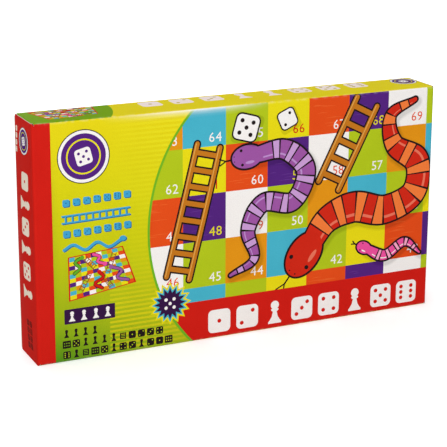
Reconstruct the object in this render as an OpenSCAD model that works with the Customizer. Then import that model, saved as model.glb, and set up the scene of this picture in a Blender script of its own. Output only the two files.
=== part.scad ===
// Boxed snakes and ladders game: a tuck-end carton of folding card with its contents.
// It stands on its long narrow side. X runs along the carton, -Y is the cover, Z is up.
// The origin is the middle of the side that it stands on.

/* [Board] */
// Side of the square playing board when it lies open
board_side = 350; // [300:5:400]
// Thickness of the grey board in each half
board_t = 2; // [1.2:0.1:3]
// Thickness of the sheets that are pasted on the board
sheet_t = 0.15; // [0.1:0.05:0.3]
// Gap between the two printed faces when the board is folded
fold_gap = 0.2; // [0.1:0.05:0.5]
// Thickness of the cloth tape over the fold
tape_t = 0.25; // [0.15:0.05:0.5]
// Reach of the tape down the back of the board
tape_reach = 12; // [8:1:25]
// Room under the tape, in which the front half turns
tape_rise = 0.8; // [0.6:0.1:1.5]

/* [Pawns] */
// Height of a pawn
pawn_h = 25; // [22:0.5:30]
// Radius of a pawn's foot
pawn_foot_r = 6.5; // [5:0.25:8]
// Height of the straight rim of a pawn's foot
pawn_foot_h = 2.2; // [1:0.2:4]
// Radius of a pawn's neck
pawn_neck_r = 2.4; // [1.6:0.2:3.4]
// Radius of the collar under a pawn's head
pawn_collar_r = 3.8; // [3.5:0.1:5]
// Thickness of that collar
pawn_collar_h = 1; // [0.6:0.1:1.6]
// Radius of a pawn's head
pawn_head_r = 4.4; // [3.8:0.1:5.4]
// Distance from one pawn to the next
pawn_pitch = 34; // [20:1:45]
// Distance from the end of the card bridge to the first pawn
pawn_from_end = 35; // [15:1:60]
// Distance from the cover to the row of pawns
pawn_row = 13; // [10:0.5:20]

/* [Die] */
// Side of the die
die_side = 16; // [12:0.5:18]
// Rounding of the die's edges
die_round = 1.2; // [0.6:0.1:2]
// Radius of a pip
pip_r = 1.5; // [1:0.1:1.8]
// Depth of a pip
pip_depth = 0.5; // [0.3:0.05:0.8]
// Distance from the middle of a face to an outer pip
pip_step = 4; // [3:0.25:4.5]
// Distance from the last pawn to the die
die_from_pawn = 58; // [20:1:80]

/* [Card insert] */
// Length of the card bridge that carries the board
insert_len = 310; // [280:2:324]
// Height of the bridge's top over the middle of a pawn's head
insert_over_head = 0.9; // [0.4:0.1:2]

/* [Leaflet] */
// Width of the folded leaflet
leaflet_w = 148; // [100:1:210]
// Height of the folded leaflet
leaflet_h = 105; // [70:1:140]
// Thickness of the folded leaflet
leaflet_t = 0.6; // [0.3:0.1:1]

/* [Carton] */
// Depth of the carton, from the cover to the back
box_d = 44; // [40:1:60]
// Thickness of the folding card
card_t = 0.6; // [0.4:0.05:0.8]
// Outer radius of the long creases
crease_r = 1.2; // [1:0.1:2]
// Room between an end of the board and the outside of the carton
end_room = 7.5; // [5:0.5:15]
// Room between the fold of the board and the top panel
head_room = 0.95; // [0.5:0.05:6]
// Length of a closure's tongue
tongue_len = 15; // [10:1:18]
// Distance from a tongue's end to the top or the bottom of the carton
tongue_inset = 8; // [4:1:20]
// Rounding of a tongue's free corners
tongue_round = 6; // [3:1:9]
// Length of a dust flap
dust_len = 30; // [20:1:36]
// Distance from the cover to a dust flap's crease
dust_front = 2.5; // [2:0.5:5]
// Distance from a dust flap's crease to the back
dust_back = 4; // [3:0.5:6]
// Height of the glue flap
glue_h = 14; // [10:1:18]
// Distance from an end of the glue flap to an end of the carton
glue_inset = 20; // [19:1:40]

/* [Clearances] */
// Gap between a closure or flap and the card that it folds against
flap_gap = 0.2; // [0.1:0.05:0.4]
// Gap round loose contents
slide_gap = 0.3; // [0.2:0.05:0.6]

/* [Hidden] */
$fn = 64;

// The pawns stand in a row of this many
pawn_count = 4;
// Shares of a dust flap's length by which its front and back edges slope in
dust_front_share = 0.6;
dust_back_share = 0.12;
// Share of a pawn's foot radius at which its cone starts
pawn_cone_share = 0.85;
// Places of the outer pips of a face, as shares of the pip step, in the order in which they come in
pip_shares = [[-1, -1], [1, 1], [-1, 1], [1, -1], [-1, 0], [1, 0]];
// Cuts run past the faces that they open by this much
overrun = 1;

// The bridge holds the pawns by their heads, and the board stands on it
insert_h = pawn_h - pawn_head_r + insert_over_head;
fold_h = board_side / 2;
box_w = board_side + 2 * end_room;
box_h = 2 * card_t + insert_h + slide_gap + fold_h + tape_rise + tape_t + head_room;

cover_y = -box_d / 2;
back_y = box_d / 2;
left_x = -box_w / 2;
board_z = card_t + insert_h + slide_gap;
board_top_z = board_z + fold_h;

// Each sheet layer starts this far in from an end: closure, then dust flap, then top and bottom panel
front_inset = card_t + flap_gap;
dust_inset = card_t + flap_gap;
tube_inset = dust_inset + card_t + flap_gap;

// The tongue lies on an arc about the closure's crease, so that it clears the back panel as it turns
tongue_r = box_d - card_t - flap_gap;
tongue_turn = tongue_len / tongue_r * 180 / PI;
tongue_tip_depth = sqrt(pow(tongue_r - card_t, 2) - pow(tongue_len, 2));

// The board's layers, from the back of the carton to the cover
half_t = board_t + 2 * sheet_t;
fold_y = cover_y + tongue_tip_depth - slide_gap - tape_t - half_t - fold_gap / 2;
rear_y = fold_y + fold_gap / 2;
front_y = fold_y - fold_gap / 2 - half_t;

insert_back_y = back_y - 2 * card_t - slide_gap;
insert_cover_y = cover_y + crease_r;

// The row of pawns starts at one end of the bridge, and the die lies beyond it
first_pawn_x = -insert_len / 2 + pawn_from_end;
pawn_y = cover_y + pawn_row;
die_x = first_pawn_x + (pawn_count - 1) * pawn_pitch + die_from_pawn;

white_card = "#e9e5da";
print_red = "#cc1f17";
print_yellow = "#e0d418";
print_lime = "#aec41e";
grey_board = "#a39c8f";

// Places an outline drawn in Y and Z, and draws it out along X
module along_x(from_x, length) {
    translate([from_x, 0, 0]) rotate([90, 0, 90]) linear_extrude(length) children();
}

// A rectangle with round corners, its lower left corner at the origin
module round_rectangle(width, height, radius) {
    translate([radius, 0]) square([width - 2 * radius, height]);
    translate([0, radius]) square([width, height - 2 * radius]);
    for (x = [radius, width - radius], y = [radius, height - radius]) translate([x, y]) circle(radius);
}

// The carton's outline seen from its end, in Y and Z
module end_outline(height_cut = 0) {
    translate([cover_y, height_cut]) round_rectangle(box_d, box_h - 2 * height_cut, crease_r);
}

// The section of the carton's wall, in Y and Z
module wall_section() {
    difference() {
        end_outline();
        translate([cover_y + card_t, card_t])
            round_rectangle(box_d - 2 * card_t, box_h - 2 * card_t, crease_r - card_t);
    }
}

// The cover or back: the wall's flat and both of its creases, with the flat reaching further at the ends
module broad_panel(outer_y, inner_y, flat_inset) {
    along_x(left_x + tube_inset, box_w - 2 * tube_inset)
        intersection() {
            wall_section();
            translate([min(outer_y, inner_y), 0]) square([crease_r, box_h]);
        }
    along_x(left_x + flat_inset, box_w - 2 * flat_inset)
        translate([outer_y < 0 ? outer_y : outer_y - card_t, crease_r])
            square([card_t, box_h - 2 * crease_r]);
}

// A narrow side between the creases
module narrow_panel(low_z) {
    along_x(left_x + tube_inset, box_w - 2 * tube_inset)
        translate([cover_y + crease_r, low_z]) square([box_d - 2 * crease_r, card_t]);
}

// The left closure's flat plate, its crease rounded about the cover's edge
module closure_plate() {
    intersection() {
        translate([left_x, cover_y, 0]) linear_extrude(box_h)
            intersection() {
                round_rectangle(2 * box_d, 2 * box_d, card_t);
                square([card_t, tongue_r]);
                circle(tongue_r - card_t);
            }
        along_x(left_x - overrun, card_t + 2 * overrun) end_outline(flap_gap);
    }
}

// The left closure's tongue, with round free corners
module closure_tongue() {
    tongue_h = box_h - 2 * tongue_inset;
    intersection() {
        translate([left_x, cover_y, tongue_inset]) rotate([0, 0, 90 - tongue_turn])
            rotate_extrude(angle = tongue_turn)
                translate([tongue_r - card_t, 0]) square([card_t, tongue_h]);
        translate([left_x - tongue_len, back_y, tongue_inset]) rotate([90, 0, 0])
            linear_extrude(box_d) round_rectangle(2 * tongue_len, tongue_h, tongue_round);
    }
}

// The upper left dust flap, folded down behind the closure
module dust_flap() {
    crease_w = box_d - dust_front - dust_back;
    x = left_x + dust_inset;
    intersection() {
        along_x(x, card_t)
            translate([cover_y + dust_front, box_h])
                polygon([[0, 0], [crease_w, 0], [crease_w - dust_len * dust_back_share, -dust_len],
                    [dust_len * dust_front_share, -dust_len]]);
        translate([x, back_y, box_h]) rotate([90, 0, 0]) linear_extrude(box_d)
            mirror([0, 1]) round_rectangle(2 * dust_len, 2 * dust_len, card_t);
    }
}

// One layer of the folded board, from_y being its face on the cover's side
module board_layer(from_y, thickness) {
    translate([-board_side / 2, from_y, board_z]) cube([board_side, thickness, fold_h]);
}

// The tape stands over the fold, and is pasted down the back of the rear half
module tape_over_fold() {
    wrap_y = rear_y + half_t;
    along_x(-board_side / 2, board_side) {
        translate([wrap_y, board_top_z - tape_reach]) square([tape_t, tape_reach + tape_rise + tape_t]);
        translate([front_y, board_top_z + tape_rise]) square([wrap_y + tape_t - front_y, tape_t]);
    }
}

// A pawn on its foot, at its place in the row
module pawn(place) {
    head_z = pawn_h - pawn_head_r;
    collar_z = head_z - pawn_head_r;
    translate([first_pawn_x + place * pawn_pitch, pawn_y, card_t]) {
        cylinder(h = pawn_foot_h, r = pawn_foot_r);
        translate([0, 0, pawn_foot_h])
            cylinder(h = collar_z - pawn_foot_h, r1 = pawn_foot_r * pawn_cone_share, r2 = pawn_neck_r);
        translate([0, 0, collar_z]) cylinder(h = pawn_collar_h, r = pawn_collar_r);
        translate([0, 0, head_z]) sphere(pawn_head_r);
    }
}

// The pips of one face, on the plane z = 0, for 1 to 6
module pips(count) {
    ball_r = (pow(pip_r, 2) + pow(pip_depth, 2)) / (2 * pip_depth);
    outer = count - count % 2;
    for (i = [0:1:outer - 1])
        translate([pip_shares[i].x * pip_step, pip_shares[i].y * pip_step, ball_r - pip_depth])
            sphere(ball_r);
    if (count % 2 == 1) translate([0, 0, ball_r - pip_depth]) sphere(ball_r);
}

// The turn that brings the top face of the die to each of its six sides, opposite faces adding up to seven
die_turns = [[0, 0, 0], [90, 0, 0], [0, 90, 0], [0, -90, 0], [-90, 0, 0], [180, 0, 0]];

module front_panel() {
    color(print_yellow) broad_panel(cover_y, cover_y + crease_r, front_inset);
}

module back_panel() {
    color(print_lime) broad_panel(back_y, back_y - crease_r, 0);
}

module top_panel() {
    color(print_yellow) narrow_panel(box_h - card_t);
}

module bottom_panel() {
    color(print_lime) narrow_panel(0);
}

module glue_flap() {
    color(white_card) along_x(left_x + glue_inset, box_w - 2 * glue_inset)
        translate([back_y - 2 * card_t, crease_r]) square([card_t, glue_h]);
}

module left_closure() {
    color(print_red) closure_plate();
}

module right_closure() {
    color(print_red) mirror([1, 0, 0]) closure_plate();
}

module left_tongue() {
    color(white_card) closure_tongue();
}

module right_tongue() {
    color(white_card) mirror([1, 0, 0]) closure_tongue();
}

module left_top_dust_flap() {
    color(white_card) dust_flap();
}

module left_bottom_dust_flap() {
    color(white_card) translate([0, 0, box_h]) mirror([0, 0, 1]) dust_flap();
}

module right_top_dust_flap() {
    color(white_card) mirror([1, 0, 0]) dust_flap();
}

module right_bottom_dust_flap() {
    color(white_card) mirror([1, 0, 0]) translate([0, 0, box_h]) mirror([0, 0, 1]) dust_flap();
}

module board_rear_half() {
    color(grey_board) board_layer(rear_y + sheet_t, board_t);
}

module board_front_half() {
    color(grey_board) board_layer(front_y + sheet_t, board_t);
}

module board_rear_print() {
    color("#4fb6cc") board_layer(rear_y, sheet_t);
}

module board_front_print() {
    color("#4fb6cc") board_layer(front_y + sheet_t + board_t, sheet_t);
}

module board_rear_wrap() {
    color("#1e4f8f") board_layer(rear_y + sheet_t + board_t, sheet_t);
}

module board_front_wrap() {
    color("#1e4f8f") board_layer(front_y, sheet_t);
}

module board_tape() {
    color("#23262c") tape_over_fold();
}

module piece_insert() {
    insert_d = insert_back_y - insert_cover_y;
    color(white_card) difference() {
        along_x(-insert_len / 2, insert_len)
            translate([insert_cover_y, card_t]) difference() {
                square([insert_d, insert_h]);
                translate([card_t, -overrun])
                    square([insert_d - 2 * card_t, insert_h - card_t + overrun]);
            }
        for (place = [0:pawn_count - 1])
            translate([first_pawn_x + place * pawn_pitch, pawn_y, insert_h - overrun])
                cylinder(h = card_t + 2 * overrun, r = pawn_head_r + slide_gap);
    }
}

module pawn_red() {
    color("#c8231b") pawn(0);
}

module pawn_yellow() {
    color("#e8c51c") pawn(1);
}

module pawn_green() {
    color("#2f8f3a") pawn(2);
}

module pawn_blue() {
    color("#2257b8") pawn(3);
}

module die() {
    color("white") translate([die_x, 0, card_t + die_side / 2]) difference() {
        intersection_for (turn = [[0, 0, 0], [90, 0, 0], [0, 90, 0]]) rotate(turn)
            translate([-die_side / 2, -die_side / 2, -die_side / 2])
                linear_extrude(die_side) round_rectangle(die_side, die_side, die_round);
        for (i = [0:5]) rotate(die_turns[i]) translate([0, 0, die_side / 2]) pips(i + 1);
    }
}

module leaflet() {
    color("white") translate([-leaflet_w / 2, rear_y + half_t + tape_t + slide_gap, card_t + insert_h])
        cube([leaflet_w, leaflet_t, leaflet_h]);
}

front_panel();
back_panel();
top_panel();
bottom_panel();
glue_flap();
left_closure();
right_closure();
left_tongue();
right_tongue();
left_top_dust_flap();
left_bottom_dust_flap();
right_top_dust_flap();
right_bottom_dust_flap();
board_rear_half();
board_front_half();
board_rear_print();
board_front_print();
board_rear_wrap();
board_front_wrap();
board_tape();
piece_insert();
pawn_red();
pawn_yellow();
pawn_green();
pawn_blue();
die();
leaflet();
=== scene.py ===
# %% [markdown]
# # A boxed snakes and ladders game
#
# The object is a flat carton of printed, laminated card, which stands on a long narrow side. Its two ends
# open on creases, and inside lie a folding board, four pawns, a die and a leaflet on a bridge of bare card.
#
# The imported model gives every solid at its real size. This lesson dresses those solids: the carton becomes
# one thin sheet that bends round its creases and carries its print, and the loose contents get their
# moulded and folded forms.

# %% Load the frame
import math

import bpy
import numpy as np
from mathutils import Matrix, Vector
from mathutils.geometry import delaunay_2d_cdt


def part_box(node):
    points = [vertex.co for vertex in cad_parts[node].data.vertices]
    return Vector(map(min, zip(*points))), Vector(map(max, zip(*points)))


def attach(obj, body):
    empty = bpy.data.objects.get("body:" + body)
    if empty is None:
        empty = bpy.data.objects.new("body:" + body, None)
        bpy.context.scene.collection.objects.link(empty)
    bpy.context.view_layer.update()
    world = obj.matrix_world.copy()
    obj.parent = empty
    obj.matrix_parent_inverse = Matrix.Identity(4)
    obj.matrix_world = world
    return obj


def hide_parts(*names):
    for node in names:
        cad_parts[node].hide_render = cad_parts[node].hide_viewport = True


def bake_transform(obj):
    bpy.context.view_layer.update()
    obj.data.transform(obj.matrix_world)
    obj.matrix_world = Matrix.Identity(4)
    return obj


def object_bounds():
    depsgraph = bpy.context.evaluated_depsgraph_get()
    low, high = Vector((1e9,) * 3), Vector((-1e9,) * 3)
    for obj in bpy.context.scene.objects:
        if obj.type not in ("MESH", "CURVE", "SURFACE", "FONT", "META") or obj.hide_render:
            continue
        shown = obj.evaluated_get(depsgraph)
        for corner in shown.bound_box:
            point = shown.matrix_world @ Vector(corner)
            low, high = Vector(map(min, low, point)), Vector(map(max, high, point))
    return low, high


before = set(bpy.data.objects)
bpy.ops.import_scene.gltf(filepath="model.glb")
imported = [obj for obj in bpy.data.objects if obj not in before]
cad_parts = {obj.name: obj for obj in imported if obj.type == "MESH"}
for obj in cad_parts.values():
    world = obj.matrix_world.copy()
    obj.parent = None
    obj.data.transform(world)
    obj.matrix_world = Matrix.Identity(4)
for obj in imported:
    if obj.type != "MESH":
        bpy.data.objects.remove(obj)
cad_low, cad_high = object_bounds()

# %% [markdown]
# ## Sizes
#
# All that follows is measured in metres, but a drawing is easier to read in millimetres. So the print is
# drawn in millimetres, on the sheet laid flat, and one scale brings it to metres. The carton's own sizes
# come from the frame, so that the sheet always fits the solids.

# %% Read the carton's sizes from the frame
MM = 0.001
LENGTH, DEPTH, HEIGHT = [(high - low) / MM for low, high in zip(cad_low, cad_high)]
LEFT, COVER = cad_low.x / MM, cad_low.y / MM
BACK = cad_high.y / MM


def node_size(node):
    """The size of a node's box, in millimetres."""
    low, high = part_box(node)
    return (high - low) / MM


CARD = node_size("top_panel").z
CREASE = node_size("front_panel").y
SLEEVE_INSET = (LENGTH - node_size("top_panel").x) / 2
FLAP_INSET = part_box("left_top_dust_flap")[0].x / MM - LEFT
print("Carton", round(LENGTH, 1), "x", round(DEPTH, 1), "x", round(HEIGHT, 1), "mm")
print("Card", round(CARD, 2), "mm")

# %% [markdown]
# ## Camera
#
# The photograph was taken from the front left and a little above. Corners of the carton, set against their
# places in the picture, give the angle, the distance and the lens. The upright edges hardly lean in the
# picture, as if its frame had been shifted down. The camera has a smaller shift the same way, so that the
# carton also stays in the frame from other sides.

# %% Place the camera
CAMERA_AZIMUTH, CAMERA_ELEVATION, CAMERA_ROLL = math.radians(-24.91), math.radians(15.01), math.radians(0.24)
CAMERA_DISTANCE = 3.508 * LENGTH * MM
CAMERA_PAN, CAMERA_RISE = 0.0062, -0.0235
PICTURE_SIDE, FOCAL_PIXELS, SENSOR_WIDTH, FRAME_SHIFT = 447, 1509, 36, -0.1

bpy.ops.object.select_all(action="DESELECT")
bpy.ops.object.camera_add()
camera = bpy.context.object
camera.name = "camera"
camera.data.sensor_width = SENSOR_WIDTH
camera.data.lens = FOCAL_PIXELS * SENSOR_WIDTH / PICTURE_SIDE
camera.data.shift_y = FRAME_SHIFT
away = Vector((math.sin(CAMERA_AZIMUTH) * math.cos(CAMERA_ELEVATION),
               -math.cos(CAMERA_AZIMUTH) * math.cos(CAMERA_ELEVATION), math.sin(CAMERA_ELEVATION)))
turn = (-away).to_track_quat("-Z", "Y").to_matrix() @ Matrix.Rotation(CAMERA_ROLL, 3, "Z")
aim = (cad_low + cad_high) / 2
slide = turn @ Vector((CAMERA_PAN, CAMERA_RISE, 0)) * CAMERA_DISTANCE
camera.matrix_world = Matrix.Translation(aim + away * CAMERA_DISTANCE - slide) @ turn.to_4x4()
bpy.context.scene.camera = camera
print("Lens", round(camera.data.lens, 1), "mm, from", round(CAMERA_DISTANCE, 2), "m")

# %% [markdown]
# ## The die line
#
# A carton like this is printed on one flat sheet and then cut, creased and folded. The drawing here works the
# same way. Every place on the flat sheet has two measures in millimetres: u runs along the carton from its
# left end, and h runs up the cover from its lower edge. Past the cover's upper edge the sheet goes on as the
# top and the back, below its lower edge as the bottom and the glue flap, and past its ends as the closures.

# %% Measures on the flat sheet
COVER_TOP = HEIGHT
BACK_TOP = HEIGHT + DEPTH
GLUE_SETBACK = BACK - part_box("glue_flap")[1].y / MM
BOTTOM_END = GLUE_SETBACK - DEPTH
FLAP_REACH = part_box("glue_flap")[1].z / MM
TONGUE_RADIUS = node_size("left_closure").y + CARD
TONGUE_ANGLE = math.radians(20)
SMALLEST_STEP = 1e-4
print("Flat sheet from", round(BOTTOM_END - FLAP_REACH, 1), "to", round(BACK_TOP + HEIGHT, 1), "mm")

# %% [markdown]
# ## Inks
#
# Colours are written as they look on a screen, in hex, and turned to the linear values that the renderer
# works in. An ink is either one colour or a rule that gives the colour at each spot, for fades.

# %% Inks
def ink(code):
    """A hex colour as linear red, green, blue and alpha."""
    parts = [int(code[i:i + 2], 16) / 255 for i in (1, 3, 5)]
    return tuple(c / 12.92 if c <= 0.04045 else ((c + 0.055) / 1.055) ** 2.4 for c in parts) + (1.0,)


RED, WHITE, BLACK = ink("#CB2018"), ink("#F1EDEA"), ink("#241B1C")
YELLOW, LIME, GREEN = ink("#E4D619"), ink("#AEC11F"), ink("#5FA62A")
CYAN, ORANGE, VERMILION = ink("#47AFC6"), ink("#DE9019"), ink("#DF4D1C")
PURPLE, DARK_PURPLE, VIOLET, LILAC = ink("#52267A"), ink("#361A43"), ink("#9A559F"), ink("#C69AD0")
PINK, ROSE = ink("#E8509A"), ink("#F3A3C4")
WOOD, DARK_WOOD, LIGHT_WOOD = ink("#BF7420"), ink("#8E5420"), ink("#DFA552")


def fade(stops):
    """An ink that changes with height, between (height, colour) stops."""
    heights = [height for height, _ in stops]

    def colour_at(spots, below):
        channels = [np.interp(spots[:, 1], heights, [colour[i] for _, colour in stops]) for i in range(4)]
        return np.stack(channels, axis=1)
    return colour_at


def shadow(share):
    """An ink that only darkens what is printed under it."""
    def colour_at(spots, below):
        darker = below.copy()
        darker[:, :3] *= 1 - share
        return darker
    return colour_at


print("Red prints as", [round(c, 3) for c in RED])

# %% [markdown]
# ## Outlines
#
# Every printed shape is a closed outline. A few helpers draw the ones that repeat: straight boxes, discs,
# stars, and ribbons that follow a path with a width of their own at each point.

# %% Boxes, discs and stars
CORNER_STEPS = 5


def turned(points, centre, angle=0.0):
    """Points moved to a centre and turned about it."""
    c, s = math.cos(angle), math.sin(angle)
    points = np.asarray(points, float)
    return points @ np.array([[c, s], [-s, c]]) + np.asarray(centre, float)


def box(u0, h0, u1, h1):
    """An upright box between two corners."""
    return np.array([(u0, h0), (u1, h0), (u1, h1), (u0, h1)], float)


def disc(centre, radius, steps=28, squash=1.0, angle=0.0):
    """A disc, or an oval where it is squashed."""
    a = np.linspace(0, math.tau, steps, endpoint=False)
    return turned(np.stack([np.cos(a) * radius, np.sin(a) * radius * squash], axis=1), centre, angle)


def quarter_round(corner, radius, quarter):
    """Points of a quarter circle about a corner, which starts after a number of quarter turns."""
    a = np.linspace(0, math.pi / 2, CORNER_STEPS) + quarter * math.pi / 2
    return [(corner[0] + radius * math.cos(t), corner[1] + radius * math.sin(t)) for t in a]


def rounded(centre, width, height, radius, angle=0.0):
    """A box with rounded corners, round a centre."""
    across, up = width / 2 - radius, height / 2 - radius
    corners = ((across, up), (-across, up), (-across, -up), (across, -up))
    arcs = [quarter_round(corner, radius, quarter) for quarter, corner in enumerate(corners)]
    return turned(np.vstack(arcs), centre, angle)


def star(centre, outer, inner, tips):
    """A star with a number of tips."""
    a = np.arange(2 * tips) * math.pi / tips
    radius = np.where(np.arange(2 * tips) % 2 == 0, outer, inner)
    return turned(np.stack([np.cos(a) * radius, np.sin(a) * radius], axis=1), centre)


print("A rounded box has", len(rounded((0, 0), 2, 2, 0.5)), "points")

# %% [markdown]
# A snake or a ladder's rail is a path with a width. The path is a smooth curve through a few given points,
# cut into even steps, and the ribbon's two edges lie half a width to either side of it.

# %% Paths and ribbons
CURVE_STEP = 0.05


def smooth_path(points, step=1.25):
    """A smooth curve through a few chosen points, as evenly spaced points about a step apart."""
    points = np.asarray(points, float)
    padded = np.vstack([2 * points[0] - points[1], points, 2 * points[-1] - points[-2]])
    curve = []
    for a, b, c, d in zip(padded[:-3], padded[1:-2], padded[2:-1], padded[3:]):
        for t in np.arange(0, 1, CURVE_STEP):
            curve.append(0.5 * (2 * b + (c - a) * t + (2 * a - 5 * b + 4 * c - d) * t ** 2
                                + (3 * b - a - 3 * c + d) * t ** 3))
    curve = np.vstack([curve, points[-1]])
    reach = np.concatenate([[0], np.cumsum(np.linalg.norm(np.diff(curve, axis=0), axis=1))])
    even = np.linspace(0, reach[-1], max(int(reach[-1] / step), 3) + 1)
    return np.column_stack([np.interp(even, reach, curve[:, axis]) for axis in (0, 1)])


def ribbon(path, widths, cap_steps=6):
    """The outline of a band along a path, with round ends."""
    path = np.asarray(path, float)
    half = np.broadcast_to(np.asarray(widths, float) / 2, len(path))
    along = np.gradient(path, axis=0)
    along /= np.linalg.norm(along, axis=1)[:, None]
    side = np.stack([-along[:, 1], along[:, 0]], axis=1)
    left, right = path + side * half[:, None], path - side * half[:, None]
    cap = np.linspace(0, math.pi, cap_steps + 2)[1:-1, None] if cap_steps else np.zeros((0, 1))
    far = path[-1] + half[-1] * (side[-1] * np.cos(cap) + along[-1] * np.sin(cap))
    near = path[0] + half[0] * (-side[0] * np.cos(cap) - along[0] * np.sin(cap))
    return np.vstack([left, far, right[::-1], near])[::-1]


print("A straight ribbon has", len(ribbon([(0, 0), (1, 0)], 0.2)), "points")

# %% [markdown]
# ## Numbers
#
# The squares of such a board are numbered. Blender's own font draws the ten digits once, as outlines with no
# filling, and each number on the print is made of copies of them. Nothing else on the carton is lettered.

# %% Digits as outlines
DIGIT_WEIGHT, DIGIT_GAP_SHARE = 0.045, 0.14


def digit_outlines(digit):
    """The closed outlines of one digit one unit tall, and its width."""
    bpy.ops.object.select_all(action="DESELECT")
    bpy.ops.object.text_add()
    text = bpy.context.object
    text.data.body = digit
    text.data.fill_mode = "NONE"
    text.data.resolution_u = 2
    text.data.offset = DIGIT_WEIGHT
    bpy.ops.object.convert(target="MESH")
    mesh = bpy.context.object.data
    following = {}
    for edge in mesh.edges:
        for a, b in (edge.vertices, reversed(edge.vertices)):
            following.setdefault(a, []).append(b)
    loops, seen = [], set()
    for start in following:
        loop, here = [], start
        while here not in seen:
            seen.add(here)
            loop.append(mesh.vertices[here].co.xy[:])
            here = next((there for there in following[here] if there not in seen), here)
        if len(loop) > 2:
            loops.append(np.array(loop))
    bpy.ops.object.delete()
    every = np.vstack(loops)
    low, high = every.min(axis=0), every.max(axis=0)
    return [(loop - low) / (high[1] - low[1]) for loop in loops], (high[0] - low[0]) / (high[1] - low[1])


DIGITS = {digit: digit_outlines(digit) for digit in "0123456789"}


def number(value, place, height):
    """The outlines of a whole number whose lower left corner is at a place."""
    loops, across = [], 0.0
    for digit in str(value):
        outlines, width = DIGITS[digit]
        loops += [turned((outline + [across, 0]) * height, place) for outline in outlines]
        across += width + DIGIT_GAP_SHARE
    return loops


print("Digits drawn:", len(DIGITS), "with", sum(len(l) for d in DIGITS.values() for l in d[0]), "points")

# %% [markdown]
# ## Game pictures
#
# The print has small pictures of the game's own things: dice, pawns, ladders and banded snakes seen from
# above. Each is a function that lays its outlines on the print, from the lowest colour up, with a dark line
# round it where a larger picture needs one. A die is a rounded square with pips, and a pawn is one outline.

# %% The print's layers, dice and pawns
print_layers = []


def lay(loops, colour):
    """Adds one printed shape on top of the others. Overlapping loops of one shape cut holes in each other."""
    several = isinstance(loops, list) and np.ndim(loops[0]) == 2
    loops = [np.asarray(loop, float) for loop in (loops if several else [loops])]
    print_layers.append((loops, colour))


PIP_SPOTS = {1: [(0, 0)], 2: [(-1, -1), (1, 1)], 3: [(-1, -1), (0, 0), (1, 1)],
             4: [(-1, -1), (-1, 1), (1, -1), (1, 1)], 5: [(-1, -1), (-1, 1), (0, 0), (1, -1), (1, 1)],
             6: [(-1, -1), (-1, 0), (-1, 1), (1, -1), (1, 0), (1, 1)]}
PIP_SHARE, PIP_STEP_SHARE, DIE_ROUND_SHARE, PIP_STEPS = 0.09, 0.25, 0.2, 12
DIE_SHADE, DIE_SHADE_SHIFT = shadow(0.2), (1.0, -1.4)


def draw_die(centre, side, pips, face=WHITE, dots=BLACK, angle=0.0, line=0.0):
    """A die's face with its pips. A die with a line has a shadow too."""
    corner = side * DIE_ROUND_SHARE
    if line:
        shade_side, edge_side = side + 4 * line, side + 2 * line
        lay(rounded(np.add(centre, DIE_SHADE_SHIFT), shade_side, shade_side, corner, angle), DIE_SHADE)
        lay(rounded(centre, edge_side, edge_side, corner + line, angle), BLACK)
    lay(rounded(centre, side, side, corner, angle), face)
    spots = turned(np.array(PIP_SPOTS[pips], float) * side * PIP_STEP_SHARE, centre, angle)
    lay([disc(spot, side * PIP_SHARE, PIP_STEPS) for spot in spots], dots)


PAWN_SIDE_SHARES = [(0.30, 0.0), (0.30, 0.08), (0.24, 0.14), (0.14, 0.30), (0.09, 0.52), (0.17, 0.58),
                    (0.17, 0.63)]
PAWN_HEAD_SHARE, PAWN_NECK_ANGLE, PAWN_HEAD_STEPS = 0.19, 0.9, 15


def draw_pawn(foot, height, colour, angle=0.0):
    """A pawn from the side, standing on its foot."""
    a = np.linspace(-PAWN_NECK_ANGLE, math.pi + PAWN_NECK_ANGLE, PAWN_HEAD_STEPS)
    head = np.stack([np.cos(a), np.sin(a)], axis=1) * PAWN_HEAD_SHARE + [0, 1 - PAWN_HEAD_SHARE]
    right = np.array(PAWN_SIDE_SHARES)
    left = (right * [-1, 1])[::-1]
    lay(turned(np.vstack([right, head, left]) * height, foot, angle), colour)


print("A pawn's outline has", len(PAWN_SIDE_SHARES) * 2 + PAWN_HEAD_STEPS, "points")

# %% [markdown]
# A ladder is two rails and its rungs, all of them short ribbons. Its dark edges are laid before its wood, so
# that the bars join without a line between them, and a pale stroke on each rail makes it look round.

# %% Ladders
BAR_CAP, GLEAM_PLACE_SHARE, GLEAM_WIDTH_SHARE = 4, 0.22, 0.2


def draw_ladder(foot, top, width, rungs, rail, colour=WOOD, line=1.4):
    """A ladder of two rails and a number of rungs."""
    foot, top = np.asarray(foot, float), np.asarray(top, float)
    along = (top - foot) / np.linalg.norm(top - foot)
    side = np.array([-along[1], along[0]]) * width / 2
    middles = [foot + (top - foot) * (i + 0.5) / rungs for i in range(rungs)]
    rails = [(foot - side, top - side), (foot + side, top + side)]
    bars = [(middle - side, middle + side) for middle in middles] + rails
    if line:
        for bar in bars:
            lay(ribbon(bar, rail + 2 * line, BAR_CAP), BLACK)
    for bar in bars:
        lay(ribbon(bar, rail, BAR_CAP), colour)
    if line:
        offset = side / np.linalg.norm(side) * rail * GLEAM_PLACE_SHARE
        for start, end in rails:
            lay(ribbon([start + offset, end + offset], rail * GLEAM_WIDTH_SHARE, BAR_CAP), LIGHT_WOOD)


print("The gleam on a rail is", GLEAM_WIDTH_SHARE, "of its width")

# %% [markdown]
# A snake is one ribbon that swells from its tail, and its bands are shorter ribbons on the same path. Its
# head is a plain oval with two small eyes. All is drawn in shares of its width, so one function suits all.

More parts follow.
